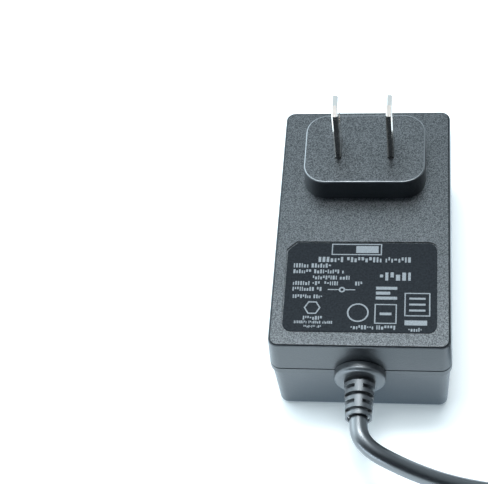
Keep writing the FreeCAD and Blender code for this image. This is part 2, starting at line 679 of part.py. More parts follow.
def top_shell():
    """The shallow upper shell: drafted walls, blade boss, blade slots, label recess and posts."""
    body = new_body("top_shell")
    outline = rounded_rectangle(sketch(body, "lid_outline", "XY_Plane", z=PARTING),
                                S["housing_width"], S["housing_length"], S["corner_radius"])
    walls = pad(body, "lid_walls", outline, TOP - PARTING, taper=-S["top_draft"])
    rim = edge_names(walls.Shape, lambda edge: level(edge, TOP.value))
    face = dress(body, "face_rounding", "Fillet", rim, S["top_edge_radius"])
    dress(body, "lid_seam", "Chamfer", seam_edges(face.Shape), S["seam_bevel"])
    outline = rounded_rectangle(sketch(body, "boss_outline", "XY_Plane", y=BOSS_Y,
                                       z=TOP),
                                S["boss_width"], S["boss_depth"], S["boss_corner_radius"])
    boss = pad(body, "boss", outline, S["boss_height"], taper=-S["boss_draft"])
    rim = edge_names(boss.Shape, lambda edge: level(edge, BOSS_TOP.value))
    dress(body, "boss_rounding", "Fillet", rim, S["boss_edge_radius"])
    hollow = rounded_rectangle(sketch(body, "lid_hollow", "XY_Plane", z=PARTING),
                               S["housing_width"] - 2 * S["wall"],
                               S["housing_length"] - 2 * S["wall"], S["cavity_radius"])
    pocket(body, "lid_cavity", hollow, INNER_TOP - PARTING, taper=-S["top_draft"], up=True)
    lip = S["tongue_thickness"] + S["weld_clearance"]
    seat = rounded_rectangle(sketch(body, "tongue_seat_outline", "XY_Plane", z=PARTING),
                             CAVITY_WIDTH + 2 * lip, CAVITY_LENGTH + 2 * lip,
                             S["cavity_radius"] + lip)
    pocket(body, "tongue_seat", seat, S["tongue_height"] + S["weld_clearance"], up=True)
    hollow = rounded_rectangle(sketch(body, "boss_hollow", "XY_Plane", y=BOSS_Y,
                                      z=INNER_TOP),
                               S["boss_width"] - 2 * S["boss_wall"],
                               S["boss_depth"] - 2 * S["boss_wall"],
                               S["boss_corner_radius"] - S["boss_wall"])
    pocket(body, "boss_cavity", hollow, BOSS_INNER_TOP - INNER_TOP, taper=-S["boss_draft"],
           up=True)
    slots = sketch(body, "blade_slot_outlines", "XY_Plane", z=BOSS_TOP)
    for side in (-1, 1):
        polygon(slots, rectangle(side * S["blade_spacing"] / 2, BOSS_Y,
                                 S["blade_thickness"] + 2 * S["blade_fit"],
                                 S["blade_width"] + 2 * S["blade_fit"]))
    pocket(body, "blade_slots", slots, S["boss_wall"])
    stakes = circles(sketch(body, "stake_circles", "XY_Plane", z=BOSS_INNER_TOP),
                     stake_places(), S["stake_radius"])
    pad(body, "stakes", stakes,
        S["shoulder_height"] + S["carrier_thickness"] + S["stake_reach"], down=True)
    recess = sketch(body, "recess_outline", "XY_Plane", z=TOP)
    polygon(recess, label_corners(S["recess_margin"]))
    pocket(body, "label_recess", recess, S["recess_depth"])
    corners = edge_names(body.Shape, is_recess_corner)
    dress(body, "recess_corners", "Fillet", corners, S["label_radius"] + S["recess_margin"])
    posts = circles(sketch(body, "hold_down_circles", "XY_Plane", z=INNER_TOP),
                    PEGS, S["hold_down_radius"])
    pad(body, "hold_downs", posts, INNER_TOP - BOARD_TOP - S["small_gap"], down=True)
    cut_relief_notch(body, PARTING - S["tongue_height"],
                     CORD_HEIGHT + S["neck_width"] / 2 + S["small_gap"])
    return body


def rectangle(x, y, width, length):
    """Corners of a rectangle about x, y."""
    return [(x - width / 2, y - length / 2), (x + width / 2, y - length / 2),
            (x + width / 2, y + length / 2), (x - width / 2, y + length / 2)]


def cut_relief_notch(body, low, high):
    """The opening in the front wall for the strain relief's square neck."""
    depth = 2 * (S["band_step"] + S["wall"])
    outline = polygon(sketch(body, f"{body.Name}_notch_outline", "XZ_Plane"),
                      [(-(S["neck_width"] / 2 + S["small_gap"]), low),
                       (S["neck_width"] / 2 + S["small_gap"], low),
                       (S["neck_width"] / 2 + S["small_gap"], high),
                       (-(S["neck_width"] / 2 + S["small_gap"]), high)])
    outline.setExpression("AttachmentOffset.Base.z", text(-FRONT_FACE - depth / 2))
    pocket(body, f"{body.Name}_notch", outline, depth, middle=True)


def stake_places():
    return [(side * S["stake_position"], BOSS_Y) for side in (-1, 1)]


def label_corners(margin):
    """Outline of the label, or of its recess, with the corner by the blades cut on the left."""
    x = S["housing_width"] / 2 - S["label_side_margin"] + margin
    low = FRONT_FACE + S["label_front_margin"] - margin
    high = BOSS_Y - S["boss_depth"] / 2 - S["label_boss_gap"] + margin
    return [(-x, low), (x, low), (x, high), (-x + S["label_cut"], high),
            (-x, high - S["label_cut"])]


def is_round_label_corner(edge, margin, low, high):
    """True at an upright edge where the label's outline has a round corner."""
    bounds = edge.BoundBox
    corners = [label_corners(margin)[i] for i in (0, 1, 2)]
    near = 1e-3
    if bounds.ZLength < near or bounds.ZMin < low - near or bounds.ZMax > high + near:
        return False
    return any(abs(bounds.XMin - value(x)) < near and abs(bounds.YMin - value(y)) < near
               for x, y in corners)


def is_recess_corner(edge):
    return is_round_label_corner(edge, S["recess_margin"], (TOP - S["recess_depth"]).value,
                                 TOP.value)


def rating_label():
    """The label: three round corners and one cut, bare of print."""
    body = new_body("rating_label")
    foot = TOP - S["recess_depth"]
    outline = polygon(sketch(body, "label_outline", "XY_Plane", z=foot), label_corners(0))
    pad(body, "label_sheet", outline, S["label_thickness"])
    head = foot + S["label_thickness"]
    corners = edge_names(body.Shape,
                         lambda edge: is_round_label_corner(edge, 0, foot.value, head.value))
    dress(body, "label_corners", "Fillet", corners, S["label_radius"])
    return body


# Blades and what carries them

def blade(name, side):
    """A flat blade with cut tip corners, a hole, a seating shoulder and a narrow tail."""
    body = new_body(name)
    half, tail = S["blade_width"] / 2, S["tail_width"] / 2
    shoulder, tip = S["shoulder_width"] / 2, BOSS_TOP + S["blade_length"]
    right = [(half, BOSS_INNER_TOP), (half, tip - S["blade_tip_rise"]),
             (half - S["blade_tip_cut"], tip)]
    left = [(-x, z) for x, z in reversed(right)]
    foot = [(-shoulder, BOSS_INNER_TOP), (-shoulder, SHOULDER_FOOT), (-tail, SHOULDER_FOOT),
            (-tail, TAIL_FOOT), (tail, TAIL_FOOT), (tail, SHOULDER_FOOT),
            (shoulder, SHOULDER_FOOT), (shoulder, BOSS_INNER_TOP)]
    profile = sketch(body, f"{name}_profile", "YZ_Plane", x=BOSS_Y,
                     z=side * S["blade_spacing"] / 2)
    polygon(profile, right + left + foot)
    pad(body, f"{name}_blank", profile, S["blade_thickness"], middle=True)
    hole = circles(sketch(body, f"{name}_hole_circle", "YZ_Plane", x=BOSS_Y,
                          z=side * S["blade_spacing"] / 2),
                   [(0, BOSS_TOP + S["blade_hole_height"])], S["blade_hole_radius"])
    pocket(body, f"{name}_hole", hole, 2 * S["blade_thickness"], middle=True)
    bevelled = edge_names(body.Shape, is_bevelled)
    dress(body, f"{name}_bevels", "Chamfer", bevelled, S["blade_bevel"])
    return body


def is_bevelled(edge):
    """True on the long straight edges of a blade's faces outside the housing."""
    bounds = edge.BoundBox
    near = 1e-4
    straight = isinstance(edge.Curve, Part.Line)
    return straight and bounds.XLength < near and bounds.ZMax > BOSS_TOP.value + near


def blade_carrier():
    """The plate that keeps the blades seated, staked to the boss."""
    gap = S["boss_wall"] + S["carrier_gap"]
    draft_room = 2 * S["carrier_gap"]
    plate = box("carrier_plate", 0, BOSS_Y, SHOULDER_FOOT - S["carrier_thickness"],
                S["boss_width"] - 2 * gap - draft_room, S["boss_depth"] - 2 * gap - draft_room,
                S["carrier_thickness"])
    rounded = doc.addObject("Part::Fillet", "carrier_rounded")
    rounded.Base = plate
    doc.recompute()
    upright = [i + 1 for i, edge in enumerate(plate.Shape.Edges)
               if edge.BoundBox.ZLength > S["carrier_thickness"].value / 2]
    radius = value(S["boss_corner_radius"] - gap)
    rounded.Edges = [(i, radius, radius) for i in upright]
    tools = []
    for i, (x, y) in enumerate(stake_places()):
        tools.append(cylinder(f"stake_hole_{i}", x, y, SHOULDER_FOOT - 2 * S["carrier_thickness"],
                              S["stake_radius"] + S["small_gap"], 4 * S["carrier_thickness"]))
    for i, side in enumerate((-1, 1)):
        tools.append(box(f"tail_hole_{i}", side * S["blade_spacing"] / 2, BOSS_Y,
                         SHOULDER_FOOT - 2 * S["carrier_thickness"],
                         S["blade_thickness"] + 2 * S["blade_fit"],
                         S["tail_width"] + 2 * S["blade_fit"], 4 * S["carrier_thickness"]))
    return node(cut("carrier_cut", rounded, tools), "blade_carrier")


def contact_spring(name, side):
    """A bent strip that stands on the board and presses on a blade's tail."""
    body = new_body(name)
    tail_face = S["blade_spacing"] / 2 - S["blade_thickness"] / 2
    thick, upright = S["contact_thickness"], tail_face - S["contact_offset"]
    top = TAIL_FOOT + S["contact_overlap"]
    lean = TAIL_FOOT - S["contact_overlap"]
    outer = [(upright, BOARD_FOOT - S["leg_stub"]), (upright, lean), (tail_face, TAIL_FOOT),
             (tail_face, top), (upright, top + S["contact_offset"])]
    inner = [(x - thick, z) for x, z in reversed(outer)]
    profile = sketch(body, f"{name}_profile", "XZ_Plane", z=-BOSS_Y)
    polygon(profile, [(side * x, z) for x, z in outer + inner])
    pad(body, f"{name}_strip", profile, S["contact_width"], middle=True)
    board_holes.append(("slot", side * (upright - thick / 2), BOSS_Y, thick,
                        S["contact_width"]))
    return body


# Board and the parts on it

def legs(name, places, foot, radius=None):
    """Round legs from under the board up into a component's body, with their holes in the board."""
    radius = radius or S["leg_radius"]
    low = BOARD_FOOT - S["leg_stub"]
    pins = []
    for i, (x, y) in enumerate(places):
        pins.append(cylinder(f"{name}_leg_{i}", x, y, low, radius, foot - low + S["leg_sink"]))
        board_holes.append(("round", x, y, radius, radius))
    return pins


def block_part(name, x, y, width, depth, height, rows, lift=0):
    """A moulded block on legs: rows gives how many rows it has across and how many legs in each."""
    foot = BOARD_TOP + lift
    share = S["block_leg_share"]
    body = box(f"{name}_block", x, y, foot, width, depth, height)
    places = [(x + step_x * width * share, y + step_y * depth * share)
              for step_x in steps(rows[0]) for step_y in steps(rows[1])]
    return node(fuse(f"{name}_fuse", [body] + legs(name, places, foot)), name)


def steps(count):
    """Evenly spaced from -0.5 to 0.5, or 0 alone."""
    return [i / (count - 1) - 0.5 for i in range(count)] if count > 1 else [0]


def disc_part(name, x, y, radius, thickness, lift, axis):
    """A dipped disc that stands on two legs."""
    centre = BOARD_TOP + lift + radius
    start = (x - thickness / 2, y) if axis == "X" else (x, y - thickness / 2)
    disc = cylinder(f"{name}_disc", start[0], start[1], centre, radius, thickness, axis)
    rounded = doc.addObject("Part::Fillet", f"{name}_rounded")
    rounded.Base = disc
    edge_radius = value(thickness) * DISC_EDGE_SHARE
    rounded.Edges = [(edge, edge_radius, edge_radius) for edge in (1, 3)]
    spread = radius * S["disc_leg_share"]
    if axis == "X":
        places = [(x, y - spread), (x, y + spread)]
    else:
        places = [(x - spread, y), (x + spread, y)]
    reach = legs(name, places, BOARD_TOP + lift + radius * S["disc_leg_reach"])
    return node(fuse(f"{name}_fuse", [rounded] + reach), name)


def can_capacitor(name, x, y, radius, height):
    """A round can on two legs with a crimp near its foot and a scored, dished top."""
    body = doc.addObject("PartDesign::Body", f"{name}_can")
    crimp = BOARD_TOP + S["can_crimp_height"]
    score = radius * S["can_score"]
    top = BOARD_TOP + height
    profile = polygon(sketch(body, f"{name}_profile", "XZ_Plane"),
                      [(0, BOARD_TOP), (radius - S["can_groove"], BOARD_TOP),
                       (radius, BOARD_TOP + S["can_groove"]), (radius, crimp),
                       (radius - S["can_groove"], crimp + S["can_groove"]),
                       (radius, crimp + 2 * S["can_groove"]), (radius, top - S["can_groove"]),
                       (radius - S["can_groove"], top), (score, top),
                       (score, top - S["can_groove"]), (0, top - S["can_groove"])])
    revolve(body, f"{name}_turned", profile, (profile, ["V_Axis"]))
    place(body, x, y, 0)
    spread = radius * S["can_leg_share"]
    pins = legs(name, [(x - spread, y), (x + spread, y)], BOARD_TOP)
    return node(fuse(f"{name}_fuse", [body] + pins), name)


def drum_choke(name, x, y, radius, height):
    """A ferrite drum standing on the board, and the copper winding round its waist."""
    waist = radius * S["drum_waist"]
    top = BOARD_TOP + height
    core = new_body(f"{name}_core")
    profile = polygon(sketch(core, f"{name}_core_profile", "XZ_Plane"),
                      [(0, BOARD_TOP), (radius, BOARD_TOP), (radius, BOARD_TOP + S["drum_end"]),
                       (waist, BOARD_TOP + S["drum_end"]), (waist, top - S["drum_end"]),
                       (radius, top - S["drum_end"]), (radius, top), (0, top)])
    revolve(core, f"{name}_core_turned", profile, (profile, ["V_Axis"]))
    place(core, x, y, 0)
    low, high = BOARD_TOP + S["drum_end"], top - S["drum_end"]
    outer = cylinder(f"{name}_coil_outer", x, y, low, radius * S["drum_winding"], high - low)
    inner = cylinder(f"{name}_coil_inner", x, y, low, waist, high - low)
    node(cut(f"{name}_coil_cut", outer, [inner]), f"{name}_winding")


def snubber_resistor():
    """An axial resistor lying on the board with its wires bent down into it."""
    x, y, radius = across("snubber_x"), place_along("snubber_y"), S["snubber_radius"]
    length, centre = along("snubber_length"), BOARD_TOP + radius
    body = cylinder("snubber_barrel", x, y - length / 2, centre, radius, length, "Y")
    wire = cylinder("snubber_wire", x, y - length / 2 - S["leg_sink"], centre, S["leg_radius"],
                    length + 2 * S["leg_sink"], "Y")
    places = [(x, y - length / 2 - S["leg_sink"]), (x, y + length / 2 + S["leg_sink"])]
    pins = legs("snubber", places, centre - S["leg_sink"])
    return node(fuse("snubber_fuse", [body, wire] + pins), "snubber_resistor")


def power_package(name, y, tab_name):
    """A power package against its heatsink: moulded body, metal tab with a hole, three legs."""
    face, foot = across("heatsink_face"), BOARD_TOP + S["package_lift"]
    tab_x = face - S["package_tab_thickness"] / 2
    width, thickness = along("package_width"), across("package_thickness")
    tab = box(f"{name}_tab", tab_x, y, foot, S["package_tab_thickness"], width,
              upward("package_height"))
    body_top = screw_height() - S["screw_head_radius"] - S["screw_head_gap"]
    moulding = box(f"{name}_moulding", face - thickness / 2, y, foot, thickness, width,
                   body_top - foot)
    hole = cylinder(f"{name}_hole", face - 2 * S["package_tab_thickness"], y, screw_height(),
                    S["screw_radius"] + S["small_gap"], 4 * S["package_tab_thickness"], "X")
    leg_x = face - thickness / 2
    pins = legs(name, [(leg_x, y + i * S["package_leg_pitch"]) for i in (-1, 0, 1)], foot)
    whole = fuse(f"{name}_fuse", [tab, moulding] + pins)
    return node(cut(f"{name}_drilled", whole, [hole]), tab_name)


def heatsink(name, y):
    """A folded aluminium plate whose ends turn in, tapped for the package's screw."""
    face, thick = across("heatsink_face"), S["heatsink_thickness"]
    length = along("package_width") + 2 * (thick + S[f"{name}_room"])
    body = doc.addObject("PartDesign::Body", f"{name}_folded")
    back, wing = face + thick, face - S["heatsink_wing"]
    low, high = y - length / 2, y + length / 2
    outline = polygon(sketch(body, f"{name}_outline", "XY_Plane", z=BOARD_TOP),
                      [(back, low), (back, high), (wing, high), (wing, high - thick),
                       (face, high - thick), (face, low + thick), (wing, low + thick),
                       (wing, low)])
    pad(body, f"{name}_plate", outline, upward("heatsink_height"))
    hole = cylinder(f"{name}_hole", face - thick, y, screw_height(), S["screw_radius"],
                    3 * thick, "X")
    return node(cut(f"{name}_tapped", body, [hole]), name)


def screw_height():
    return BOARD_TOP + S["package_lift"] + upward("package_height") - S["package_hole_drop"]


def heatsink_screws():
    """The two screws that hold the power packages to their heatsinks."""
    parts = []
    tab_face = across("heatsink_face") - S["package_tab_thickness"]
    for i, y in enumerate((place_along("switch_y"), place_along("rectifier_y"))):
        head = cylinder(f"screw_head_{i}", tab_face - S["screw_head_height"], y, screw_height(),
                        S["screw_head_radius"], S["screw_head_height"], "X")
        shank = cylinder(f"screw_shank_{i}", tab_face, y, screw_height(), S["screw_radius"],
                         S["package_tab_thickness"] + S["heatsink_thickness"], "X")
        parts.append(fuse(f"screw_{i}", [head, shank]))
    group = doc.addObject("Part::Compound", "screw_group")
    group.Links = parts
    return node(group, "heatsink_screws")


def transformer():
    """Two E-shaped core halves, the bobbin with its pin rails, and the winding."""
    x, y, low = across("core_x"), place_along("core_y"), BOARD_TOP + S["core_lift"]
    middle, high = low + upward("core_height") / 2, low + upward("core_height")
    width = across("core_width")
    half, back, leg = width / 2, width * S["core_back"], width * S["core_leg"] / 2
    for name, foot, direction in (("transformer_core_lower", low, 1),
                                  ("transformer_core_upper", high, -1)):
        body = new_body(name)
        inside = foot + direction * back
        points = [(-half, foot), (half, foot), (half, middle), (half - back, middle),
                  (half - back, inside), (leg, inside), (leg, middle), (-leg, middle),
                  (-leg, inside), (back - half, inside), (back - half, middle), (-half, middle)]
        profile = sketch(body, f"{name}_profile", "XZ_Plane", x=x, z=-y)
        polygon(profile, points)
        pad(body, f"{name}_block", profile, along("core_depth"), middle=True)
    bobbin(x, y, low + back, high - back, 2 * leg, width - 2 * back)


def bobbin(x, y, low, high, leg, window):
    """The bobbin round the core's centre leg, between its backs, and the winding on it."""
    wall, gap, depth = S["bobbin_wall"], S["small_gap"], along("bobbin_depth")
    bore_x, bore_y = leg + 2 * gap, along("core_depth") + 2 * gap
    tube_x, tube_y = bore_x + 2 * wall, bore_y + 2 * wall
    flange_x = window - 2 * gap
    tube = box("bobbin_tube", x, y, low, tube_x, tube_y, high - low)
    lower = box("bobbin_lower_flange", x, y, low, flange_x, depth, wall)
    upper = box("bobbin_upper_flange", x, y, high - wall, flange_x, depth, wall)
    rails, places = [], []
    for i, side in enumerate((-1, 1)):
        rail_y = y + side * (depth - S["bobbin_rail"]) / 2
        rails.append(box(f"bobbin_rail_{i}", x, rail_y, BOARD_TOP, flange_x, S["bobbin_rail"],
                         low - BOARD_TOP))
        places += [(x + step * flange_x / 4, rail_y) for step in (-1.5, -0.5, 0.5, 1.5)]
    pins = legs("bobbin", places, BOARD_TOP)
    whole = fuse("bobbin_fuse", [tube, lower, upper] + rails + pins)
    bore = box("bobbin_bore", x, y, low - wall, bore_x, bore_y, high - low + 2 * wall)
    node(cut("bobbin_bored", whole, [bore]), "transformer_bobbin")
    winding = new_body("transformer_winding")
    ring = sketch(winding, "winding_outline", "XY_Plane", x=x, y=y, z=low + wall)
    rounded_rectangle(ring, tube_x + (flange_x - tube_x) * S["winding_fill"],
                      depth - 2 * S["winding_inset"], S["winding_radius"])
    polygon(ring, rectangle(0, 0, tube_x, tube_y))
    pad(winding, "winding_ring", ring, high - low - 2 * wall)


def circuit_board():
    """The board, with a hole for each leg, peg and lead."""
    body = doc.addObject("PartDesign::Body", "board_blank")
    outline = rounded_rectangle(sketch(body, "board_outline", "XY_Plane",
                                       y=BOARD_MIDDLE, z=BOARD_FOOT),
                                BOARD_WIDTH, BOARD_LENGTH, S["board_corner_radius"])
    pad(body, "board_sheet", outline, S["board_thickness"])
    low, depth = BOARD_FOOT - S["board_thickness"], 3 * S["board_thickness"]
    tools = []
    for i, (kind, x, y, width, length) in enumerate(board_holes):
        if kind == "round":
            tools.append(cylinder(f"board_hole_{i}", x, y, low, width + S["hole_gap"], depth))
        else:
            tools.append(box(f"board_hole_{i}", x, y, low, width + 2 * S["hole_gap"],
                             length + 2 * S["hole_gap"], depth))
    for i, (x, y) in enumerate(PEGS):
        tools.append(cylinder(f"board_peg_hole_{i}", x, y, low, S["peg_radius"] + S["small_gap"],
                              depth))
    return node(cut("board_drilled", body, tools), "circuit_board")


def board_parts():
    """Everything that is soldered to the board."""
    block_part("fuse", across("fuse_x"), place_along("fuse_y"), across("fuse_width"),
               along("fuse_depth"), S["fuse_height"], (1, 2))
    disc_part("surge_varistor", across("varistor_x"), place_along("varistor_y"),
              around("varistor_radius"), across("varistor_thickness"), S["varistor_lift"], "X")
    block_part("x_capacitor", 0, place_along("x_capacitor_y"), across("x_capacitor_width"),
               along("x_capacitor_depth"), S["x_capacitor_height"], (2, 1))
    drum_choke("line_choke", across("line_choke_x"), place_along("line_choke_y"),
               around("line_choke_radius"), S["line_choke_height"])
    block_part("bridge_rectifier", across("bridge_x"), place_along("bridge_y"),
               across("bridge_width"), along("bridge_depth"), S["bridge_height"], (2, 2),
               lift=S["leg_sink"])
    can_capacitor("bulk_capacitor", across("bulk_x"), place_along("bulk_y"),
                  around("bulk_radius"), upward("bulk_height"))
    block_part("control_chip", across("chip_x"), place_along("chip_y"), across("chip_width"),
               along("chip_length"), S["chip_height"], (2, 4), lift=S["leg_sink"])
    snubber_resistor()
    power_package("switch", place_along("switch_y"), "power_switch")
    heatsink("primary_heatsink", place_along("switch_y"))
    power_package("rectifier", place_along("rectifier_y"), "output_rectifier")
    heatsink("secondary_heatsink", place_along("rectifier_y"))
    heatsink_screws()
    transformer()
    disc_part("y_capacitor", across("y_capacitor_x"), place_along("y_capacitor_y"),
              around("y_capacitor_radius"), S["y_capacitor_thickness"], S["y_capacitor_lift"],
              "Y")
    block_part("optocoupler", across("opto_x"), place_along("opto_y"), across("opto_width"),
               along("opto_length"), S["opto_height"], (2, 2), lift=S["leg_sink"])
    for number in (1, 2):
        name = f"output_capacitor_{number}"
        can_capacitor(name, across(f"{name}_x"), place_along(f"{name}_y"),
                      around("output_capacitor_radius"), S["output_capacitor_height"])
    drum_choke("output_choke", across("output_choke_x"), place_along("output_choke_y"),
               around("output_choke_radius"), S["output_choke_height"])


# Strain relief, inner leads and outer lead

def strain_relief():
    """Flange, square neck, inner flange and a tapered sleeve with staggered slots."""
    body = new_body("strain_relief")
    profile = sketch(body, "relief_profile", "YZ_Plane", y=CORD_HEIGHT)
    mouth = RELIEF_END + S["mouth_depth"]
    polygon(profile, [(mouth, 0), (mouth, S["mouth_radius"]), (RELIEF_END, S["mouth_radius"]),
                      (RELIEF_END, S["sleeve_end_radius"]),
                      (RELIEF_FRONT, S["sleeve_root_radius"]), (RELIEF_FRONT, S["flange_radius"]),
                      (FRONT_FACE, S["flange_radius"]), (FRONT_FACE, 0)])
    axis = (profile, ["H_Axis"])
    outer = revolve(body, "relief_turned", profile, axis)
    rim = edge_names(outer.Shape, lambda edge: is_flange_rim(edge, RELIEF_FRONT.value))
    dress(body, "flange_rounding", "Fillet", rim, S["flange_edge_radius"])
    side = S["neck_width"] / 2
    neck = polygon(sketch(body, "neck_outline", "XZ_Plane", z=-FRONT_FACE),
                   [(-side, CORD_HEIGHT - side), (side, CORD_HEIGHT - side),
                    (side, CORD_HEIGHT + side), (-side, CORD_HEIGHT + side)])
    pad(body, "neck", neck, NECK_END - FRONT_FACE, down=True)
    flange = circles(sketch(body, "inner_flange_circle", "XZ_Plane", z=-NECK_END),
                     [(0, CORD_HEIGHT)], S["inner_flange_radius"])
    pad(body, "inner_flange", flange, S["inner_flange_thickness"], down=True)
    cut_slots(body)
    return body


def is_flange_rim(edge, front):
    """True on the outer flange's largest edge that faces the lead."""
    bounds = edge.BoundBox
    near = 1e-3
    wide = abs(bounds.XLength - 2 * S["flange_radius"].value) < near
    return wide and abs(bounds.YMin - front) < near and abs(bounds.YMax - front) < near


def cut_slots(body):
    """Slots through the sleeve: rows open above and below, and rows open to the sides between."""
    start = RELIEF_FRONT - S["first_slot"] + S["slot_width"] / 2
    end = start - S["slot_width"]
    inner, outer = S["slot_core_radius"], S["flange_radius"]
    rows = (("upper", "YZ_Plane", "H_Axis", S["upper_slot_angle"], 0, UPPER_SLOT_ROWS),
            ("side", "XY_Plane", "V_Axis", S["side_slot_angle"], 1, SIDE_SLOT_ROWS))
    for name, plane, axis_name, angle, shift, count in rows:
        low, high = end - shift * S["slot_pitch"], start - shift * S["slot_pitch"]
        cuts = []
        for number, side in enumerate((-1, 1)):
            if plane == "YZ_Plane":
                drawing = sketch(body, f"{name}_slot_outline_{number}", plane, y=CORD_HEIGHT)
                points = [(low, side * inner), (high, side * inner),
                          (high, side * outer), (low, side * outer)]
            else:
                drawing = sketch(body, f"{name}_slot_outline_{number}", plane, z=CORD_HEIGHT)
                points = [(side * inner, low), (side * outer, low),
                          (side * outer, high), (side * inner, high)]
            polygon(drawing, points)
            cuts.append(groove(body, f"{name}_slot_{number}", drawing, (drawing, [axis_name]),
                               angle))
        repeat(body, f"{name}_slot_rows", cuts, count, 2 * S["slot_pitch"])


def repeat(body, name, features, count, step):
    """Repeat some cuts towards the lead's side."""
    before = body.Shape.Volume
    pattern = body.newObject("PartDesign::LinearPattern", name)
    pattern.Originals = features
    pattern.Direction = (origin_part(body, "Y_Axis"), [""])
    pattern.Reversed = True
    pattern.Mode = "Spacing"
    bind(pattern, "Offset", step)
    pattern.Occurrences = count
    body.Tip = pattern
    doc.recompute()
    must_shrink(body, name, before)


def bent_path(points, bend):
    """Edges of a path of straight runs joined by tangent arcs, and each arc's radius."""
    spots = [FreeCAD.Vector(*point) for point in points]
    edges, radii = [], []
    here = spots[0]
    for before, corner, after in zip(spots, spots[1:], spots[2:]):
        into, out = (corner - before), (after - corner)
        turn = into.getAngle(out)
        trim = bend(into.Length, out.Length, turn)
        into.normalize()
        out.normalize()
        start, end = corner - into * trim, corner + out * trim
        radius = trim / math.tan(turn / 2)
        towards = (out - into).normalize()
        middle = corner + towards * (radius / math.cos(turn / 2) - radius)
        edges.append(Part.LineSegment(here, start).toShape())
        edges.append(Part.Arc(start, middle, end).toShape())
        radii.append(radius)
        here = end
    edges.append(Part.LineSegment(here, spots[-1]).toShape())
    return edges, radii


def pipe(name, edges, radius):
    """A round tube along a path, its volume held against section times length."""
    wire = Part.Wire(edges)
    start = wire.Edges[0].valueAt(wire.Edges[0].FirstParameter)
    direction = wire.Edges[0].tangentAt(wire.Edges[0].FirstParameter)
    section = Part.Wire([Part.Circle(start, direction, radius).toShape()])
    solid = wire.makePipeShell([section], True, False)
    expected = math.pi * radius ** 2 * wire.Length
    if abs(solid.Volume - expected) > PIPE_TOLERANCE * expected:
        raise RuntimeError(f"{name} has a volume of {solid.Volume:.1f}, not {expected:.1f}")
    thing = doc.addObject("Part::Feature", name)
    thing.Shape = solid
    return node(thing, name), wire.Length


def inner_lead(name, side):
    """An insulated lead from the strain relief over the saddle and down through the board."""
    x = side * S["lead_offset"].value
    height, bend = CORD_HEIGHT.value, S["lead_bend"].value
    down = lead_landing().value
    points = [(x, RELIEF_INNER_END.value, height), (x, down, height),
              (x, down, (BOARD_FOOT - S["leg_stub"]).value)]
    edges, _ = bent_path(points, lambda before, after, turn: bend * math.tan(turn / 2))
    pipe(name, edges, S["lead_radius"].value)
    board_holes.append(("round", side * S["lead_offset"], lead_landing(), S["lead_radius"],
                        S["lead_radius"]))


def lead_landing():
    """Where the inner leads go down through the board."""
    return BOARD_FRONT + S["lead_bend"]


def cord_tube(name, points):
    """A stretch of the outer lead, with arcs as large as its runs allow."""
    edges, radii = bent_path(points, lambda before, after, turn: BEND_SHARE * min(before, after))
    _, length = pipe(name, edges, S["cord_radius"].value)
    print(f"{name}: length {length:.1f}, bend radii {[round(radius, 1) for radius in radii]}")


def cord_coil():
    """The outer shape of the coiled lead: one closed ring."""
    body = new_body("cord_coil")
    height = S["coil_layer_pitch"] + 2 * S["cord_radius"]
    section = sketch(body, "coil_section", "XZ_Plane", x=S["coil_mean_radius"], y=height / 2)
    rounded_rectangle(section, S["coil_band"] + 2 * S["cord_radius"], height, S["cord_radius"])
    revolve(body, "coil_ring", section, (origin_part(body, "Z_Axis"), [""]))
    place(body, S["coil_x"], S["coil_y"], S["coil_lift"])
    return body


def cord_tie(coil):
    """The strap pulled tight round the coil, so that it follows the coil's own section."""
    thick = S["coil_lift"]
    width = S["coil_band"] + 2 * S["cord_radius"]
    height = S["coil_layer_pitch"] + 2 * S["cord_radius"]
    hole_radius = S["coil_mean_radius"] - width / 2
    slack = S["tie_width"] * S["tie_width"] / (8 * hole_radius)
    body = doc.addObject("PartDesign::Body", "tie_blank")
    section = sketch(body, "tie_section", "XZ_Plane",
                     x=S["coil_x"] - S["coil_mean_radius"] + slack / 2, y=thick + height / 2,
                     z=-S["coil_y"])
    rounded_rectangle(section, width + 2 * thick + slack, height + 2 * thick,
                      S["cord_radius"] + thick)
    pad(body, "tie_block", section, S["tie_width"], middle=True)
    return node(cut("tie_cut", body, [coil]), "cord_tie")


# Barrel plug

def turned(name, points):
    """A piece of the plug, turned about the plug's axis: distance from its rear end, radius."""
    body = new_body(name)
    profile = polygon(sketch(body, f"{name}_profile", "XZ_Plane"), points)
    revolve(body, f"{name}_turned", profile, (profile, ["H_Axis"]))
    body.Placement = FreeCAD.Placement(FreeCAD.Vector(),
                                       FreeCAD.Rotation(FreeCAD.Vector(0, 0, 1), 90))
    place(body, S["plug_x"], S["plug_rear_y"], S["plug_radius"])
    return body


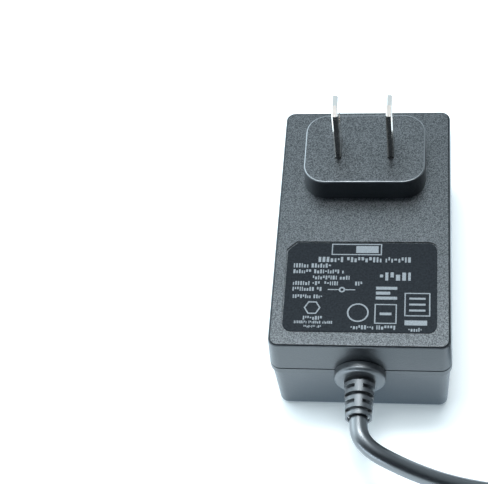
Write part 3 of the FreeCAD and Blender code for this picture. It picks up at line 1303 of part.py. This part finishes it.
def barrel_plug():
    """Moulded grip, metal sleeve, insulator and the tube that takes the socket's pin."""
    radius, rear = S["plug_radius"], S["plug_rear_radius"]
    length, nose = S["plug_length"], S["plug_nose_radius"]
    shoulder = length - S["plug_nose_length"]
    depth, width = S["plug_groove_depth"], S["plug_groove_width"]
    outline = [(0, 0), (0, rear)]
    for i in range(GRIP_GROOVES):
        start = (2 * i + FIRST_GROOVE) * width
        outline += [(start, rear), (start, rear - depth), (start + width, rear - depth),
                    (start + width, rear)]
    outline += [(S["plug_rear_length"], rear), (S["plug_rear_length"] + radius - rear, radius),
                (shoulder - depth, radius), (shoulder, radius - depth), (shoulder, nose),
                (length, nose), (length, 0)]
    seat, tip = length - S["barrel_seat"], length + S["barrel_length"]
    grip = turned("plug_overmould", outline)
    collar = S["barrel_collar_radius"]
    hollow = polygon(sketch(grip, "plug_seat_outline", "XZ_Plane"),
                     [(seat, 0), (length, 0), (length, collar), (seat, collar)])
    groove(grip, "plug_seat", hollow, (hollow, ["H_Axis"]), 360)
    outer, inner = S["barrel_radius"], S["barrel_radius"] - S["barrel_wall"]
    edge = S["barrel_wall"] / 2
    turned("plug_sleeve", [(seat, inner), (seat, collar), (length, collar), (length, outer),
                           (tip - edge, outer), (tip, outer - edge), (tip, inner)])
    bore = S["pin_bore_radius"]
    contact = bore + S["pin_contact_wall"]
    front = tip - S["tip_setback"]
    turned("plug_insulator", [(seat, contact), (seat, inner), (front, inner), (front, contact)])
    turned("plug_contact", [(seat, 0), (seat, contact), (front, contact), (front, bore),
                            (front - S["pin_bore_depth"], bore),
                            (front - S["pin_bore_depth"], 0)])


# Build, check and write

def build():
    bottom_shell()
    top_shell()
    rating_label()
    blade("left_blade", -1)
    blade("right_blade", 1)
    blade_carrier()
    contact_spring("left_contact_spring", -1)
    contact_spring("right_contact_spring", 1)
    board_parts()
    strain_relief()
    inner_lead("positive_lead", -1)
    inner_lead("negative_lead", 1)
    circuit_board()
    cord_tube("cord_run", CORD_ROUTE)
    cord_tube("cord_tail", TAIL_ROUTE)
    cord_tie(cord_coil())
    barrel_plug()
    doc.recompute()


def check():
    for thing in doc.Objects:
        bad = [state for state in thing.State if state in ("Invalid", "Error")]
        if bad:
            raise RuntimeError(f"{thing.Name} is {bad}")
    for thing in nodes:
        if thing.Shape.isNull() or not thing.Shape.isValid():
            raise RuntimeError(f"{thing.Label} has no valid shape")


def write():
    os.makedirs("parts", exist_ok=True)
    for thing in nodes:
        thing.Shape.exportStep(f"parts/{thing.Label}.step")
        solids = len(thing.Shape.Solids)
        print(f"{thing.Label}: {solids} solid, {thing.Shape.Volume:.1f} cubic millimetres")


build()
check()
write()
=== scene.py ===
import math
import random

import bmesh
import bpy
from mathutils import Euler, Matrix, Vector


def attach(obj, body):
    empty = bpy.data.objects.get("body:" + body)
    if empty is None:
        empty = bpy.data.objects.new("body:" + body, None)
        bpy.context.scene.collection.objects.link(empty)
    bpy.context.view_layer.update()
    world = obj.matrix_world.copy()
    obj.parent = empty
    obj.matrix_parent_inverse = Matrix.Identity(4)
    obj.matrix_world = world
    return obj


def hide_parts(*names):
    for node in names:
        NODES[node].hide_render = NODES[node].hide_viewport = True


# A wall-plug power adapter, lying on its back with the blades up: looks, cord, print, floor and light.
# The CAD nodes' places come from model.glb. Lengths written here are in millimetres, unless a comment
# says metres.

MM = 0.001

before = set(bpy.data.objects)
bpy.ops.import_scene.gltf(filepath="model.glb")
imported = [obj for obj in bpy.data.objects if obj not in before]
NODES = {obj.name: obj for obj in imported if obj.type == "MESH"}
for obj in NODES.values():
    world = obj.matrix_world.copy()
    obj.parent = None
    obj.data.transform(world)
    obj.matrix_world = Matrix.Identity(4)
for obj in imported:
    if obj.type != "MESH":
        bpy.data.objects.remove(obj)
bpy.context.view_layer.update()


def at(*point):
    """A point given in millimetres, in metres."""
    return Vector(point) * MM


# Camera, at the photograph's viewing angle

CAMERA_PLACE = (16.226, -178.387, 281.991)
CAMERA_TURN = (34.617, 6.685, 4.968)  # degrees, about x, y and z
CAMERA_LENS = 94.502
SENSOR_WIDTH = 36.0


def make_camera():
    data = bpy.data.cameras.new("camera")
    data.lens = CAMERA_LENS
    data.sensor_width = SENSOR_WIDTH
    data.sensor_fit = "HORIZONTAL"
    data.clip_start = 0.01
    data.clip_end = 10.0
    camera = bpy.data.objects.new("camera", data)
    camera.location = at(*CAMERA_PLACE)
    camera.rotation_euler = Euler([math.radians(angle) for angle in CAMERA_TURN], "XYZ")
    bpy.context.scene.collection.objects.link(camera)
    bpy.context.scene.camera = camera


# Node materials

# The housing's gloss is its specular level, and differs between its faces
WALL_GLOSS = 0.46
FACE_GLOSS = (0.3, 0.95)  # on level faces, in the pits of the grain and on its peaks
RIM_GLOSS = (0.12, 1.7)  # on the housing's rim and on the boss's
RIM_HEIGHTS = (0.031, 0.034)  # in metres, above the housing's rim and below the boss's
WALL_TO_RIM = (0.6, 0.85)  # upward part of the normal where a wall becomes a rim
RIM_TO_FACE = (0.99, 0.999)  # and where a rim becomes a level face

# The blades' cut corners, told by the upward part of their normal
CUT_SLOPE = 0.6
CUT_SPAN = 0.2  # to either side
CUT_ROUGHNESS = 0.25  # added to the blade's own


class Shader:
    """A material and its node tree, with short ways to add nodes and links."""

    def __init__(self, name):
        self.material = bpy.data.materials.new(name)
        self.material.use_nodes = True
        self.tree = self.material.node_tree
        self.shader = self.tree.nodes["Principled BSDF"]
        self.point = self.add("ShaderNodeTexCoord").outputs["Object"]

    def add(self, kind, **values):
        node = self.tree.nodes.new(kind)
        for name, value in values.items():
            if name in node.inputs:
                node.inputs[name].default_value = value
            else:
                setattr(node, name, value)
        return node

    def link(self, source, target):
        self.tree.links.new(source, target)

    def set(self, **values):
        for name, value in values.items():
            socket = self.shader.inputs[name.replace("_", " ")]
            socket.default_value = (*value, 1.0) if isinstance(value, tuple) else value

    def noise(self, size, detail=2.0, roughness=0.5, stretch=(1, 1, 1)):
        """Noise whose grains are about size millimetres across."""
        mapping = self.add("ShaderNodeMapping")
        mapping.inputs["Scale"].default_value = stretch
        self.link(self.point, mapping.inputs["Vector"])
        texture = self.add("ShaderNodeTexNoise", Scale=1.0 / (size * MM), Detail=detail,
                           Roughness=roughness)
        self.link(mapping.outputs["Vector"], texture.inputs["Vector"])
        return texture.outputs["Fac"]

    def ramp(self, factor, *stops):
        """A colour ramp with (position, colour) stops."""
        node = self.add("ShaderNodeValToRGB")
        elements = node.color_ramp.elements
        while len(elements) < len(stops):
            elements.new(0.5)
        for element, (position, colour) in zip(elements, stops):
            element.position = position
            element.color = (*colour, 1.0)
        self.link(factor, node.inputs["Fac"])
        return node.outputs["Color"]

    def spread(self, factor, low, high, start=0.3, end=0.7):
        """A number from low to high, itself a number or an output, as the factor goes from start to end."""
        node = self.add("ShaderNodeMapRange")
        node.inputs["From Min"].default_value = start
        node.inputs["From Max"].default_value = end
        node.inputs["To Min"].default_value = low
        if isinstance(high, bpy.types.NodeSocket):
            self.link(high, node.inputs["To Max"])
        else:
            node.inputs["To Max"].default_value = high
        self.link(factor, node.inputs["Value"])
        return node.outputs["Result"]

    def upward(self, vector):
        """The upward part of a vector."""
        split = self.add("ShaderNodeSeparateXYZ")
        self.link(vector, split.inputs["Vector"])
        return split.outputs["Z"]

    def facing_up(self):
        """The upward part of the surface's own normal, 1 on a level face."""
        return self.upward(self.add("ShaderNodeNewGeometry").outputs["True Normal"])

    def compute(self, operation, *values):
        """A math node; each value is a number or an output."""
        node = self.add("ShaderNodeMath", operation=operation)
        for socket, value in zip(node.inputs, values):
            if isinstance(value, bpy.types.NodeSocket):
                self.link(value, socket)
            else:
                socket.default_value = value
        return node.outputs["Value"]

    def colour(self, source):
        self.link(source, self.shader.inputs["Base Color"])

    def rough(self, source):
        self.link(source, self.shader.inputs["Roughness"])

    def bump(self, height, depth):
        """A bump of depth millimetres."""
        node = self.add("ShaderNodeBump", Strength=1.0, Distance=depth * MM)
        self.link(height, node.inputs["Height"])
        self.link(node.outputs["Normal"], self.shader.inputs["Normal"])


def shade(colour, factor):
    return tuple(min(1.0, channel * factor) for channel in colour)


def moulded_plastic(name, colour, roughness, grain):
    """Moulded plastic: fine grains in height and shade, and a broader change in roughness."""
    s = Shader(name)
    fine = s.noise(grain, detail=3.0, roughness=0.6)
    broad = s.noise(grain * 30, detail=1.0)
    s.colour(s.ramp(fine, (0.3, shade(colour, 0.8)), (0.7, shade(colour, 1.25))))
    s.rough(s.spread(broad, roughness - 0.03, roughness + 0.03))
    s.bump(fine, 0.02)
    return s.material


def housing_plastic():
    """Black plastic with a fine spark texture, strongest on level faces, and a glossy rim on the boss."""
    s = Shader("housing_plastic")
    fine = s.noise(0.26, detail=1.0, roughness=0.6)
    broad = s.noise(14.0, detail=2.0)
    s.colour(s.ramp(fine, (0.32, (0.002, 0.003, 0.004)), (0.68, (0.012, 0.014, 0.017))))
    s.rough(s.spread(broad, 0.28, 0.34))
    normal = s.facing_up()
    rim = s.spread(s.upward(s.point), *RIM_GLOSS, *RIM_HEIGHTS)
    gloss = s.add("ShaderNodeMix", data_type="FLOAT")
    s.link(s.spread(normal, 0.0, 1.0, *RIM_TO_FACE), gloss.inputs["Factor"])
    s.link(s.spread(normal, WALL_GLOSS, rim, *WALL_TO_RIM), gloss.inputs["A"])
    s.link(s.spread(fine, *FACE_GLOSS, 0.35, 0.65), gloss.inputs["B"])
    s.link(gloss.outputs["Result"], s.shader.inputs["Specular IOR Level"])
    s.set(IOR=1.75)
    s.bump(fine, 0.035)
    return s.material


def label_film():
    """Glossy black film with a slight orange-peel waviness."""
    s = Shader("label_film")
    wave = s.noise(3.0, detail=1.0)
    dust = s.noise(0.5, detail=2.0)
    s.colour(s.ramp(dust, (0.35, (0.004, 0.005, 0.007)), (0.75, (0.010, 0.012, 0.015))))
    s.rough(s.spread(dust, 0.14, 0.22))
    s.set(Specular_IOR_Level=0.22)
    s.bump(wave, 0.01)
    return s.material


def label_ink():
    """Pale grey print, a little uneven."""
    s = Shader("label_ink")
    speck = s.noise(0.3, detail=2.0)
    s.colour(s.ramp(speck, (0.3, (0.15, 0.158, 0.166)), (0.7, (0.23, 0.24, 0.25))))
    s.set(Roughness=0.35)
    return s.material


def lined_metal(name, colour, roughness=0.22, stretch=(1, 1, 0.08)):
    """Rolled or plated metal with fine lines along one axis."""
    s = Shader(name)
    lines = s.noise(0.25, detail=3.0, stretch=stretch)
    cloud = s.noise(4.0, detail=2.0)
    s.colour(s.ramp(cloud, (0.3, shade(colour, 0.9)), (0.7, colour)))
    s.rough(s.spread(lines, roughness * 0.75, roughness * 1.4))
    s.set(Metallic=1.0)
    s.bump(lines, 0.001)
    return s.material


def blade_metal():
    """Bright plated brass with fine drawn lines, and ground faces where the tip's corners are cut."""
    s = Shader("plated_brass")
    lines = s.noise(0.2, detail=3.0, stretch=(1, 1, 0.06))
    cloud = s.noise(4.0, detail=2.0)
    s.colour(s.ramp(cloud, (0.3, (0.70, 0.65, 0.60)), (0.7, (0.78, 0.73, 0.68))))
    ground = s.compute("COMPARE", s.facing_up(), CUT_SLOPE, CUT_SPAN)
    s.rough(s.compute("MULTIPLY_ADD", ground, CUT_ROUGHNESS, s.spread(lines, 0.08, 0.15)))
    s.set(Metallic=1.0)
    s.bump(lines, 0.001)
    return s.material


def soft_moulding(name):
    """Soft black moulding: satin, with a fine even grain."""
    s = Shader(name)
    fine = s.noise(0.35, detail=2.0, roughness=0.6)
    s.colour(s.ramp(fine, (0.3, (0.005, 0.006, 0.008)), (0.7, (0.012, 0.014, 0.017))))
    s.rough(s.spread(fine, 0.38, 0.44))
    s.set(Specular_IOR_Level=1.0, IOR=1.75)
    s.bump(fine, 0.02)
    return s.material


def cord_jacket():
    """Smooth black jacket with a faint satin grain."""
    s = Shader("cord_jacket")
    fine = s.noise(0.25, detail=2.0)
    s.colour(s.ramp(fine, (0.3, (0.004, 0.005, 0.007)), (0.7, (0.010, 0.012, 0.015))))
    s.rough(s.spread(fine, 0.28, 0.34))
    s.set(Specular_IOR_Level=1.0, IOR=1.8)
    s.bump(fine, 0.004)
    return s.material


def laminate():
    """Tan board with its weave just showing."""
    s = Shader("board_laminate")
    weave = s.noise(0.6, detail=1.0, stretch=(1, 0.3, 1))
    s.colour(s.ramp(weave, (0.3, (0.36, 0.30, 0.15)), (0.7, (0.47, 0.40, 0.22))))
    s.set(Roughness=0.35)
    s.bump(weave, 0.01)
    return s.material


WIRE_PITCH = 0.6909
WAVE_RATE = 20.0  # radians of the wave texture for each unit of length at scale 1


def wound_wire():
    """Close turns of copper wire round an upright axis, with painted shade in the grooves between turns."""
    s = Shader("copper_wire")
    colour = (0.72, 0.33, 0.14)
    wave = s.add("ShaderNodeTexWave", Scale=2 * math.pi / (WAVE_RATE * WIRE_PITCH * MM),
                 bands_direction="Z")
    s.link(s.point, wave.inputs["Vector"])
    turns = wave.outputs["Fac"]
    # The darker part of each band is painted shade in the groove between two turns; the copper itself is
    # even.
    s.colour(s.ramp(turns, (0.0, shade(colour, 0.5)), (0.6, colour)))
    s.set(Metallic=0.9, Roughness=0.35)
    s.bump(turns, 0.1)
    return s.material


# The materials of the inner parts: colour, roughness and grain of each slot
INNER_PLASTICS = {
    "carrier_plastic": ((0.05, 0.05, 0.055), 0.5, 0.4),
    "fuse_case": ((0.03, 0.028, 0.026), 0.45, 0.5),
    "varistor_coating": ((0.02, 0.09, 0.28), 0.4, 0.6),
    "film_capacitor_case": ((0.55, 0.36, 0.03), 0.4, 0.5),
    "ferrite": ((0.035, 0.034, 0.036), 0.6, 0.3),
    "moulding_compound": ((0.02, 0.02, 0.022), 0.6, 0.25),
    "capacitor_sleeve": ((0.015, 0.02, 0.06), 0.3, 0.8),
    "resistor_lacquer": ((0.45, 0.33, 0.2), 0.4, 0.5),
    "bobbin_plastic": ((0.03, 0.03, 0.032), 0.5, 0.4),
    "winding_tape": ((0.75, 0.55, 0.05), 0.4, 0.9),
    "disc_coating": ((0.02, 0.15, 0.35), 0.4, 0.6),
    "red_insulation": ((0.45, 0.01, 0.01), 0.4, 0.4),
    "black_insulation": ((0.02, 0.02, 0.02), 0.4, 0.4),
    "tie_plastic": ((0.02, 0.021, 0.023), 0.6, 0.4),
    "plug_insulation": ((0.04, 0.04, 0.045), 0.3, 0.4),
}


def materials():
    """Every finish, by the record's slot."""
    found = {name: moulded_plastic(name, *values) for name, values in INNER_PLASTICS.items()}
    found["housing_plastic"] = housing_plastic()
    found["label_film"] = label_film()
    found["plated_brass"] = blade_metal()
    for name in ("relief_rubber", "plug_rubber"):
        found[name] = soft_moulding(name)
    found["spring_brass"] = lined_metal("spring_brass", (0.78, 0.6, 0.28))
    found["heatsink_aluminium"] = lined_metal("heatsink_aluminium", (0.75, 0.76, 0.78), 0.35)
    found["screw_steel"] = lined_metal("screw_steel", (0.6, 0.6, 0.6), 0.3)
    found["plug_nickel"] = lined_metal("plug_nickel", (0.62, 0.60, 0.57), 0.28, (1, 0.08, 1))
    found["board_laminate"] = laminate()
    found["copper_wire"] = wound_wire()
    found["cord_jacket"] = cord_jacket()
    return found


def dress_nodes(finishes):
    """Give each CAD node the finish of its own slot."""
    for thing in NODES.values():
        slot = thing.material_slots[0].material.name.split(".")[0]
        thing.data.materials.clear()
        thing.data.materials.append(finishes[slot])


# The lead: one curve along the route, through the coil's turns and on to the plug

CORD_ROUTE = (
    (0.0, -45.8, 17.5),
    (0.0, -49.0, 17.5),
    (0.9, -51.7, 17.3),
    (3.3, -53.9, 16.4),
    (7.1, -55.3, 14.6),
    (12.2, -56.4, 11.7),
    (18.8, -57.2, 8.1),
    (26.6, -57.3, 4.5),
    (35.4, -57.2, 2.2),
    (45.0, -56.8, 2.1),
    (53.6, -56.8, 2.3),
    (61.25, -57.5, 2.6),
)
TAIL_ROUTE = (
    (98.7, -18.3, 6.85),
    (97.8, -10.8, 6.5),
    (95.9, -4.0, 4.75),
    (95.9, 3.0, 4.75),
)
CORD_RADIUS = 2.1
COIL_CENTRE = (66.85, -25.7)
COIL_OUTER = 32.25  # outermost turn's middle line
COIL_INNER = 10.75  # innermost turn's middle line
COIL_START = -100.0  # degrees, where the lead meets the outermost turn
COIL_TURNS = 4.989  # in each layer
COIL_RISE = 0.3  # turns, from the lower layer to the upper one
LOWER_LAYER = 2.6
UPPER_LAYER = 6.85
POINTS_PER_TURN = 16


def coil_points():
    """The coil's turns: in along the ground, up inside, and out on top."""
    total = 2 * COIL_TURNS + COIL_RISE
    count = round(total * POINTS_PER_TURN)
    points = []
    for i in range(1, count + 1):
        turn = total * i / count
        inward = min(turn, COIL_TURNS) / COIL_TURNS
        outward = max(turn - COIL_TURNS - COIL_RISE, 0.0) / COIL_TURNS
        rise = min(max((turn - COIL_TURNS) / COIL_RISE, 0.0), 1.0)
        radius = COIL_OUTER + (COIL_INNER - COIL_OUTER) * (inward - outward)
        height = LOWER_LAYER + (UPPER_LAYER - LOWER_LAYER) * rise
        angle = math.radians(COIL_START) + 2 * math.pi * turn
        points.append((COIL_CENTRE[0] + radius * math.cos(angle),
                       COIL_CENTRE[1] + radius * math.sin(angle), height))
    return points


def make_cord(finish):
    """The outer lead as one smooth curve, from the strain relief to the plug."""
    curve = bpy.data.curves.new("lead", "CURVE")
    curve.dimensions = "3D"
    curve.bevel_depth = CORD_RADIUS * MM
    curve.bevel_resolution = 6
    curve.resolution_u = 6
    curve.use_fill_caps = True
    points = list(CORD_ROUTE) + coil_points() + list(TAIL_ROUTE)
    spline = curve.splines.new("NURBS")
    spline.points.add(len(points) - 1)
    for point, place in zip(spline.points, points):
        point.co = (*at(*place), 1.0)
    spline.order_u = 3
    spline.use_endpoint_u = True
    curve.materials.append(finish)
    lead = bpy.data.objects.new("lead", curve)
    bpy.context.scene.collection.objects.link(lead)
    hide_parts("cord_run", "cord_coil", "cord_tail")
    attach(lead, "root")


# Print on the label: short bars for its rows, and plain shapes

INK_FOOT = 29.04
INK_TOP = 29.07
# Rows of short bars: from x, to x, from y, to y
PRINT_ROWS = (
    (-10.2, 12.7, -11.5, -9.9),
    (-16.0, -6.2, -13.1, -11.8),
    (-16.0, -3.6, -14.7, -13.5),
    (-11.3, -2.2, -16.4, -15.2),
    (-15.9, -9.6, -18.0, -16.8),
    (-8.5, -5.0, -18.0, -16.8),
    (-1.3, 0.9, -18.0, -16.8),
    (-15.9, -8.9, -19.6, -18.4),
    (-15.7, -8.8, -21.6, -20.5),
    (-13.0, -8.2, -27.4, -26.3),
    (-15.0, -5.8, -28.4, -27.6),
    (-12.7, -8.7, -29.5, -28.8),
    (4.4, 12.6, -16.6, -14.1),
    (11.2, 14.8, -30.2, -29.1),
    (-1.9, 8.3, -29.8, -28.6),
)
# Solid bars
PRINT_BARS = (
    (-1.4, 3.9, -8.8, -6.8),
    (10.3, 15.4, -28.5, -27.2),
    (-7.6, -5.0, -19.25, -19.0),
    (-3.6, -1.2, -19.25, -19.0),
    (3.6, 8.5, -19.0, -18.2),
    (3.6, 6.9, -20.35, -19.55),
    (3.6, 8.5, -21.7, -20.9),
    (4.6, 7.3, -25.9, -25.2),
    (11.3, 15.0, -21.6, -21.1),
    (11.3, 15.0, -23.2, -22.7),
    (11.3, 15.0, -24.8, -24.3),
)
# Outlined rectangles
PRINT_FRAMES = (
    (-7.2, 4.7, -9.4, -6.2),
    (3.4, 8.5, -28.2, -22.9),
    (10.2, 16.1, -26.1, -19.8),
)
# Rings: x, y, outer radius, corners
PRINT_RINGS = (
    (-4.3, -19.12, 0.75, 20),
    (-11.0, -24.1, 1.95, 6),
    (-0.4, -25.3, 2.5, 32),
)
FRAME_LINE = 0.28  # width of an outline
RING_LINE = 0.36

# The bars of a row, as parts of its height
BAR_WIDTH = (0.2, 0.42)
BAR_FEET = (0.05, 0.05, 0.4)
BAR_TOPS = (0.05, 0.05, 0.3)  # down from the row's top
BAR_GAP = 0.2
WORD_GAP = 0.6
ROW_END = 0.3  # no bar starts closer to the row's end
WORD_BARS = (6, 12)  # bars between two wide gaps


def solid_from_loops(mesh, outer, inner=()):
    """A flat closed piece of ink between an outer loop and, where given, an inner one."""
    levels = []
    for height in (INK_FOOT, INK_TOP):
        levels.append([[mesh.verts.new(at(x, y, height)) for x, y in loop]
                       for loop in (outer, inner) if loop])
    foot, top = levels
    count = len(outer)
    for i in range(count):
        j = (i + 1) % count
        mesh.faces.new((foot[0][i], foot[0][j], top[0][j], top[0][i]))
        if inner:
            mesh.faces.new((foot[1][j], foot[1][i], top[1][i], top[1][j]))
            mesh.faces.new((top[0][i], top[0][j], top[1][j], top[1][i]))
            mesh.faces.new((foot[0][j], foot[0][i], foot[1][i], foot[1][j]))
    if not inner:
        mesh.faces.new(top[0])
        mesh.faces.new(foot[0][::-1])


def rectangle(x0, x1, y0, y1, inset=0.0):
    return [(x0 + inset, y0 + inset), (x1 - inset, y0 + inset),
            (x1 - inset, y1 - inset), (x0 + inset, y1 - inset)]


def circle(x, y, radius, corners):
    turns = [2 * math.pi * i / corners for i in range(corners)]
    return [(x + radius * math.cos(turn), y + radius * math.sin(turn)) for turn in turns]


def row_bars(row, number):
    """Short bars of uneven width and height that fill a row, with wider gaps here and there."""
    x0, x1, y0, y1 = row
    height = y1 - y0
    draw = random.Random(number)
    bars = []
    x = x0
    run = 0
    while x < x1 - ROW_END * height:
        width = height * draw.uniform(*BAR_WIDTH)
        foot = y0 + height * draw.choice(BAR_FEET)
        top = y1 - height * draw.choice(BAR_TOPS)
        bars.append((x, min(x + width, x1), foot, top))
        run += 1
        rest = run >= draw.randint(*WORD_BARS)
        x += width + height * (WORD_GAP if rest else BAR_GAP)
        run = 0 if rest else run
    return bars


def ink_piece(name, finish, build):
    mesh = bmesh.new()
    build(mesh)
    data = bpy.data.meshes.new(name)
    mesh.to_mesh(data)
    mesh.free()
    data.materials.append(finish)
    piece = bpy.data.objects.new(name, data)
    bpy.context.scene.collection.objects.link(piece)
    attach(piece, "root")


def make_print(finish):
    def rows(mesh):
        for number, row in enumerate(PRINT_ROWS):
            for bar in row_bars(row, number):
                solid_from_loops(mesh, rectangle(*bar))

    def shapes(mesh):
        for bar in PRINT_BARS:
            solid_from_loops(mesh, rectangle(*bar))
        for outline in PRINT_FRAMES:
            solid_from_loops(mesh, rectangle(*outline), rectangle(*outline, FRAME_LINE))
        for x, y, radius, corners in PRINT_RINGS:
            solid_from_loops(mesh, circle(x, y, radius, corners),
                             circle(x, y, radius - RING_LINE, corners))

    ink_piece("label_rows", finish, rows)
    ink_piece("label_shapes", finish, shapes)


# Floor and light

FLOOR_HALF = 1.5  # half the floor's side, in metres
# Light that is added where the floor is mirrored, and where it is seen, so that it clips to white where lit
FLOOR_GLEAM = 0.65
GLEAM_COLOUR = (0.51, 0.76, 1.0)
FLOOR_GLOW = 0.25
GLOW_COLOUR = (0.71, 0.84, 0.93)


def make_floor():
    """A plain white floor that keeps the object's shadow and clips to white where it is lit."""
    mesh = bpy.data.meshes.new("floor")
    corners = rectangle(-FLOOR_HALF, FLOOR_HALF, -FLOOR_HALF, FLOOR_HALF)
    mesh.from_pydata([(x, y, 0) for x, y in corners], [], [(0, 1, 2, 3)])
    floor = bpy.data.objects.new("floor", mesh)
    bpy.context.scene.collection.objects.link(floor)
    s = Shader("floor")
    cloud = s.noise(300.0, detail=1.0)
    s.colour(s.ramp(cloud, (0.3, (0.87, 0.85, 0.82)), (0.7, (0.89, 0.87, 0.84))))
    s.set(Roughness=0.9, Specular_IOR_Level=0.2)
    path = s.add("ShaderNodeLightPath")
    seen = path.outputs["Is Camera Ray"]
    mirrored = path.outputs["Is Glossy Ray"]
    strength = s.compute("MULTIPLY_ADD", mirrored, FLOOR_GLEAM, s.compute("MULTIPLY", seen, FLOOR_GLOW))
    glow = s.add("ShaderNodeEmission")
    s.link(s.ramp(seen, (0.0, GLEAM_COLOUR), (1.0, GLOW_COLOUR)), glow.inputs["Color"])
    s.link(strength, glow.inputs["Strength"])
    both = s.add("ShaderNodeAddShader")
    s.link(s.shader.outputs["BSDF"], both.inputs[0])
    s.link(glow.outputs["Emission"], both.inputs[1])
    s.link(both.outputs["Shader"], s.tree.nodes["Material Output"].inputs["Surface"])
    mesh.materials.append(s.material)


def make_world():
    """Soft bluish light: dark on the near side, bright overhead, on the left and low at the far side."""
    world = bpy.data.worlds.new("world")
    bpy.context.scene.world = world
    world.use_nodes = True
    tree = world.node_tree
    back = tree.nodes["Background"]
    coordinate = tree.nodes.new("ShaderNodeTexCoord")
    split = tree.nodes.new("ShaderNodeSeparateXYZ")
    tree.links.new(coordinate.outputs["Generated"], split.inputs["Vector"])

    def fade(axis, start, end, low, high):
        """A strength from low to high as the direction's part along the axis goes from start to end."""
        node = tree.nodes.new("ShaderNodeMapRange")
        node.interpolation_type = "SMOOTHSTEP"
        node.inputs["From Min"].default_value = start
        node.inputs["From Max"].default_value = end
        node.inputs["To Min"].default_value = low
        node.inputs["To Max"].default_value = high
        tree.links.new(split.outputs[axis], node.inputs["Value"])
        return node.outputs["Result"]

    def times(first, second):
        node = tree.nodes.new("ShaderNodeMath")
        node.operation = "MULTIPLY"
        tree.links.new(first, node.inputs[0])
        tree.links.new(second, node.inputs[1])
        return node.outputs["Value"]

    near_to_far = fade("Y", -0.6, 0.3, 0.04, 0.95)
    low_to_high = fade("Z", 0.2, 0.7, 1.7, 1.0)
    overhead = fade("Z", 0.7, 1.0, 1.0, 2.5)
    left = fade("X", -0.8, -0.1, 3.2, 1.0)
    right = fade("X", 0.1, 0.7, 1.0, 0.5)
    strength = times(times(near_to_far, times(low_to_high, overhead)), times(left, right))
    tree.links.new(strength, back.inputs["Strength"])
    back.inputs["Color"].default_value = (0.71, 0.87, 0.97, 1.0)


def softbox(name, place, width, height, power, colour, aim=(0, 0, 15)):
    """A rectangular area light at place, aimed at a point, both in millimetres."""
    data = bpy.data.lights.new(name, "AREA")
    data.shape = "RECTANGLE"
    data.size = width * MM
    data.size_y = height * MM
    data.energy = power
    data.color = colour
    light = bpy.data.objects.new(name, data)
    light.location = at(*place)
    direction = at(*place) - at(*aim)
    light.rotation_euler = direction.to_track_quat("Z", "Y").to_euler()
    bpy.context.scene.collection.objects.link(light)
    return light


def make_lights():
    key = softbox("key", (-20, 90, 980), 300, 300, 3.8, (0.88, 0.95, 1.0))
    key.visible_glossy = False  # its gleam is the panel's
    softbox("panel", (-20, 190, 970), 500, 120, 4.4, (0.88, 0.95, 1.0))
    softbox("low", (-450, -800, 75), 1000, 140, 3.6, (0.69, 0.85, 1.0))
    gleam = softbox("gleam", (-90, -900, 300), 300, 200, 0.9, (1.0, 1.0, 1.0))
    metal = bpy.data.collections.new("metal")
    for name in ("left_blade", "right_blade"):
        metal.objects.link(NODES[name])
    gleam.light_linking.receiver_collection = metal


def main():
    bpy.context.scene.view_settings.view_transform = "Standard"
    make_camera()
    finishes = materials()
    dress_nodes(finishes)
    make_cord(finishes["cord_jacket"])
    make_print(label_ink())
    make_floor()
    make_world()
    make_lights()


main()
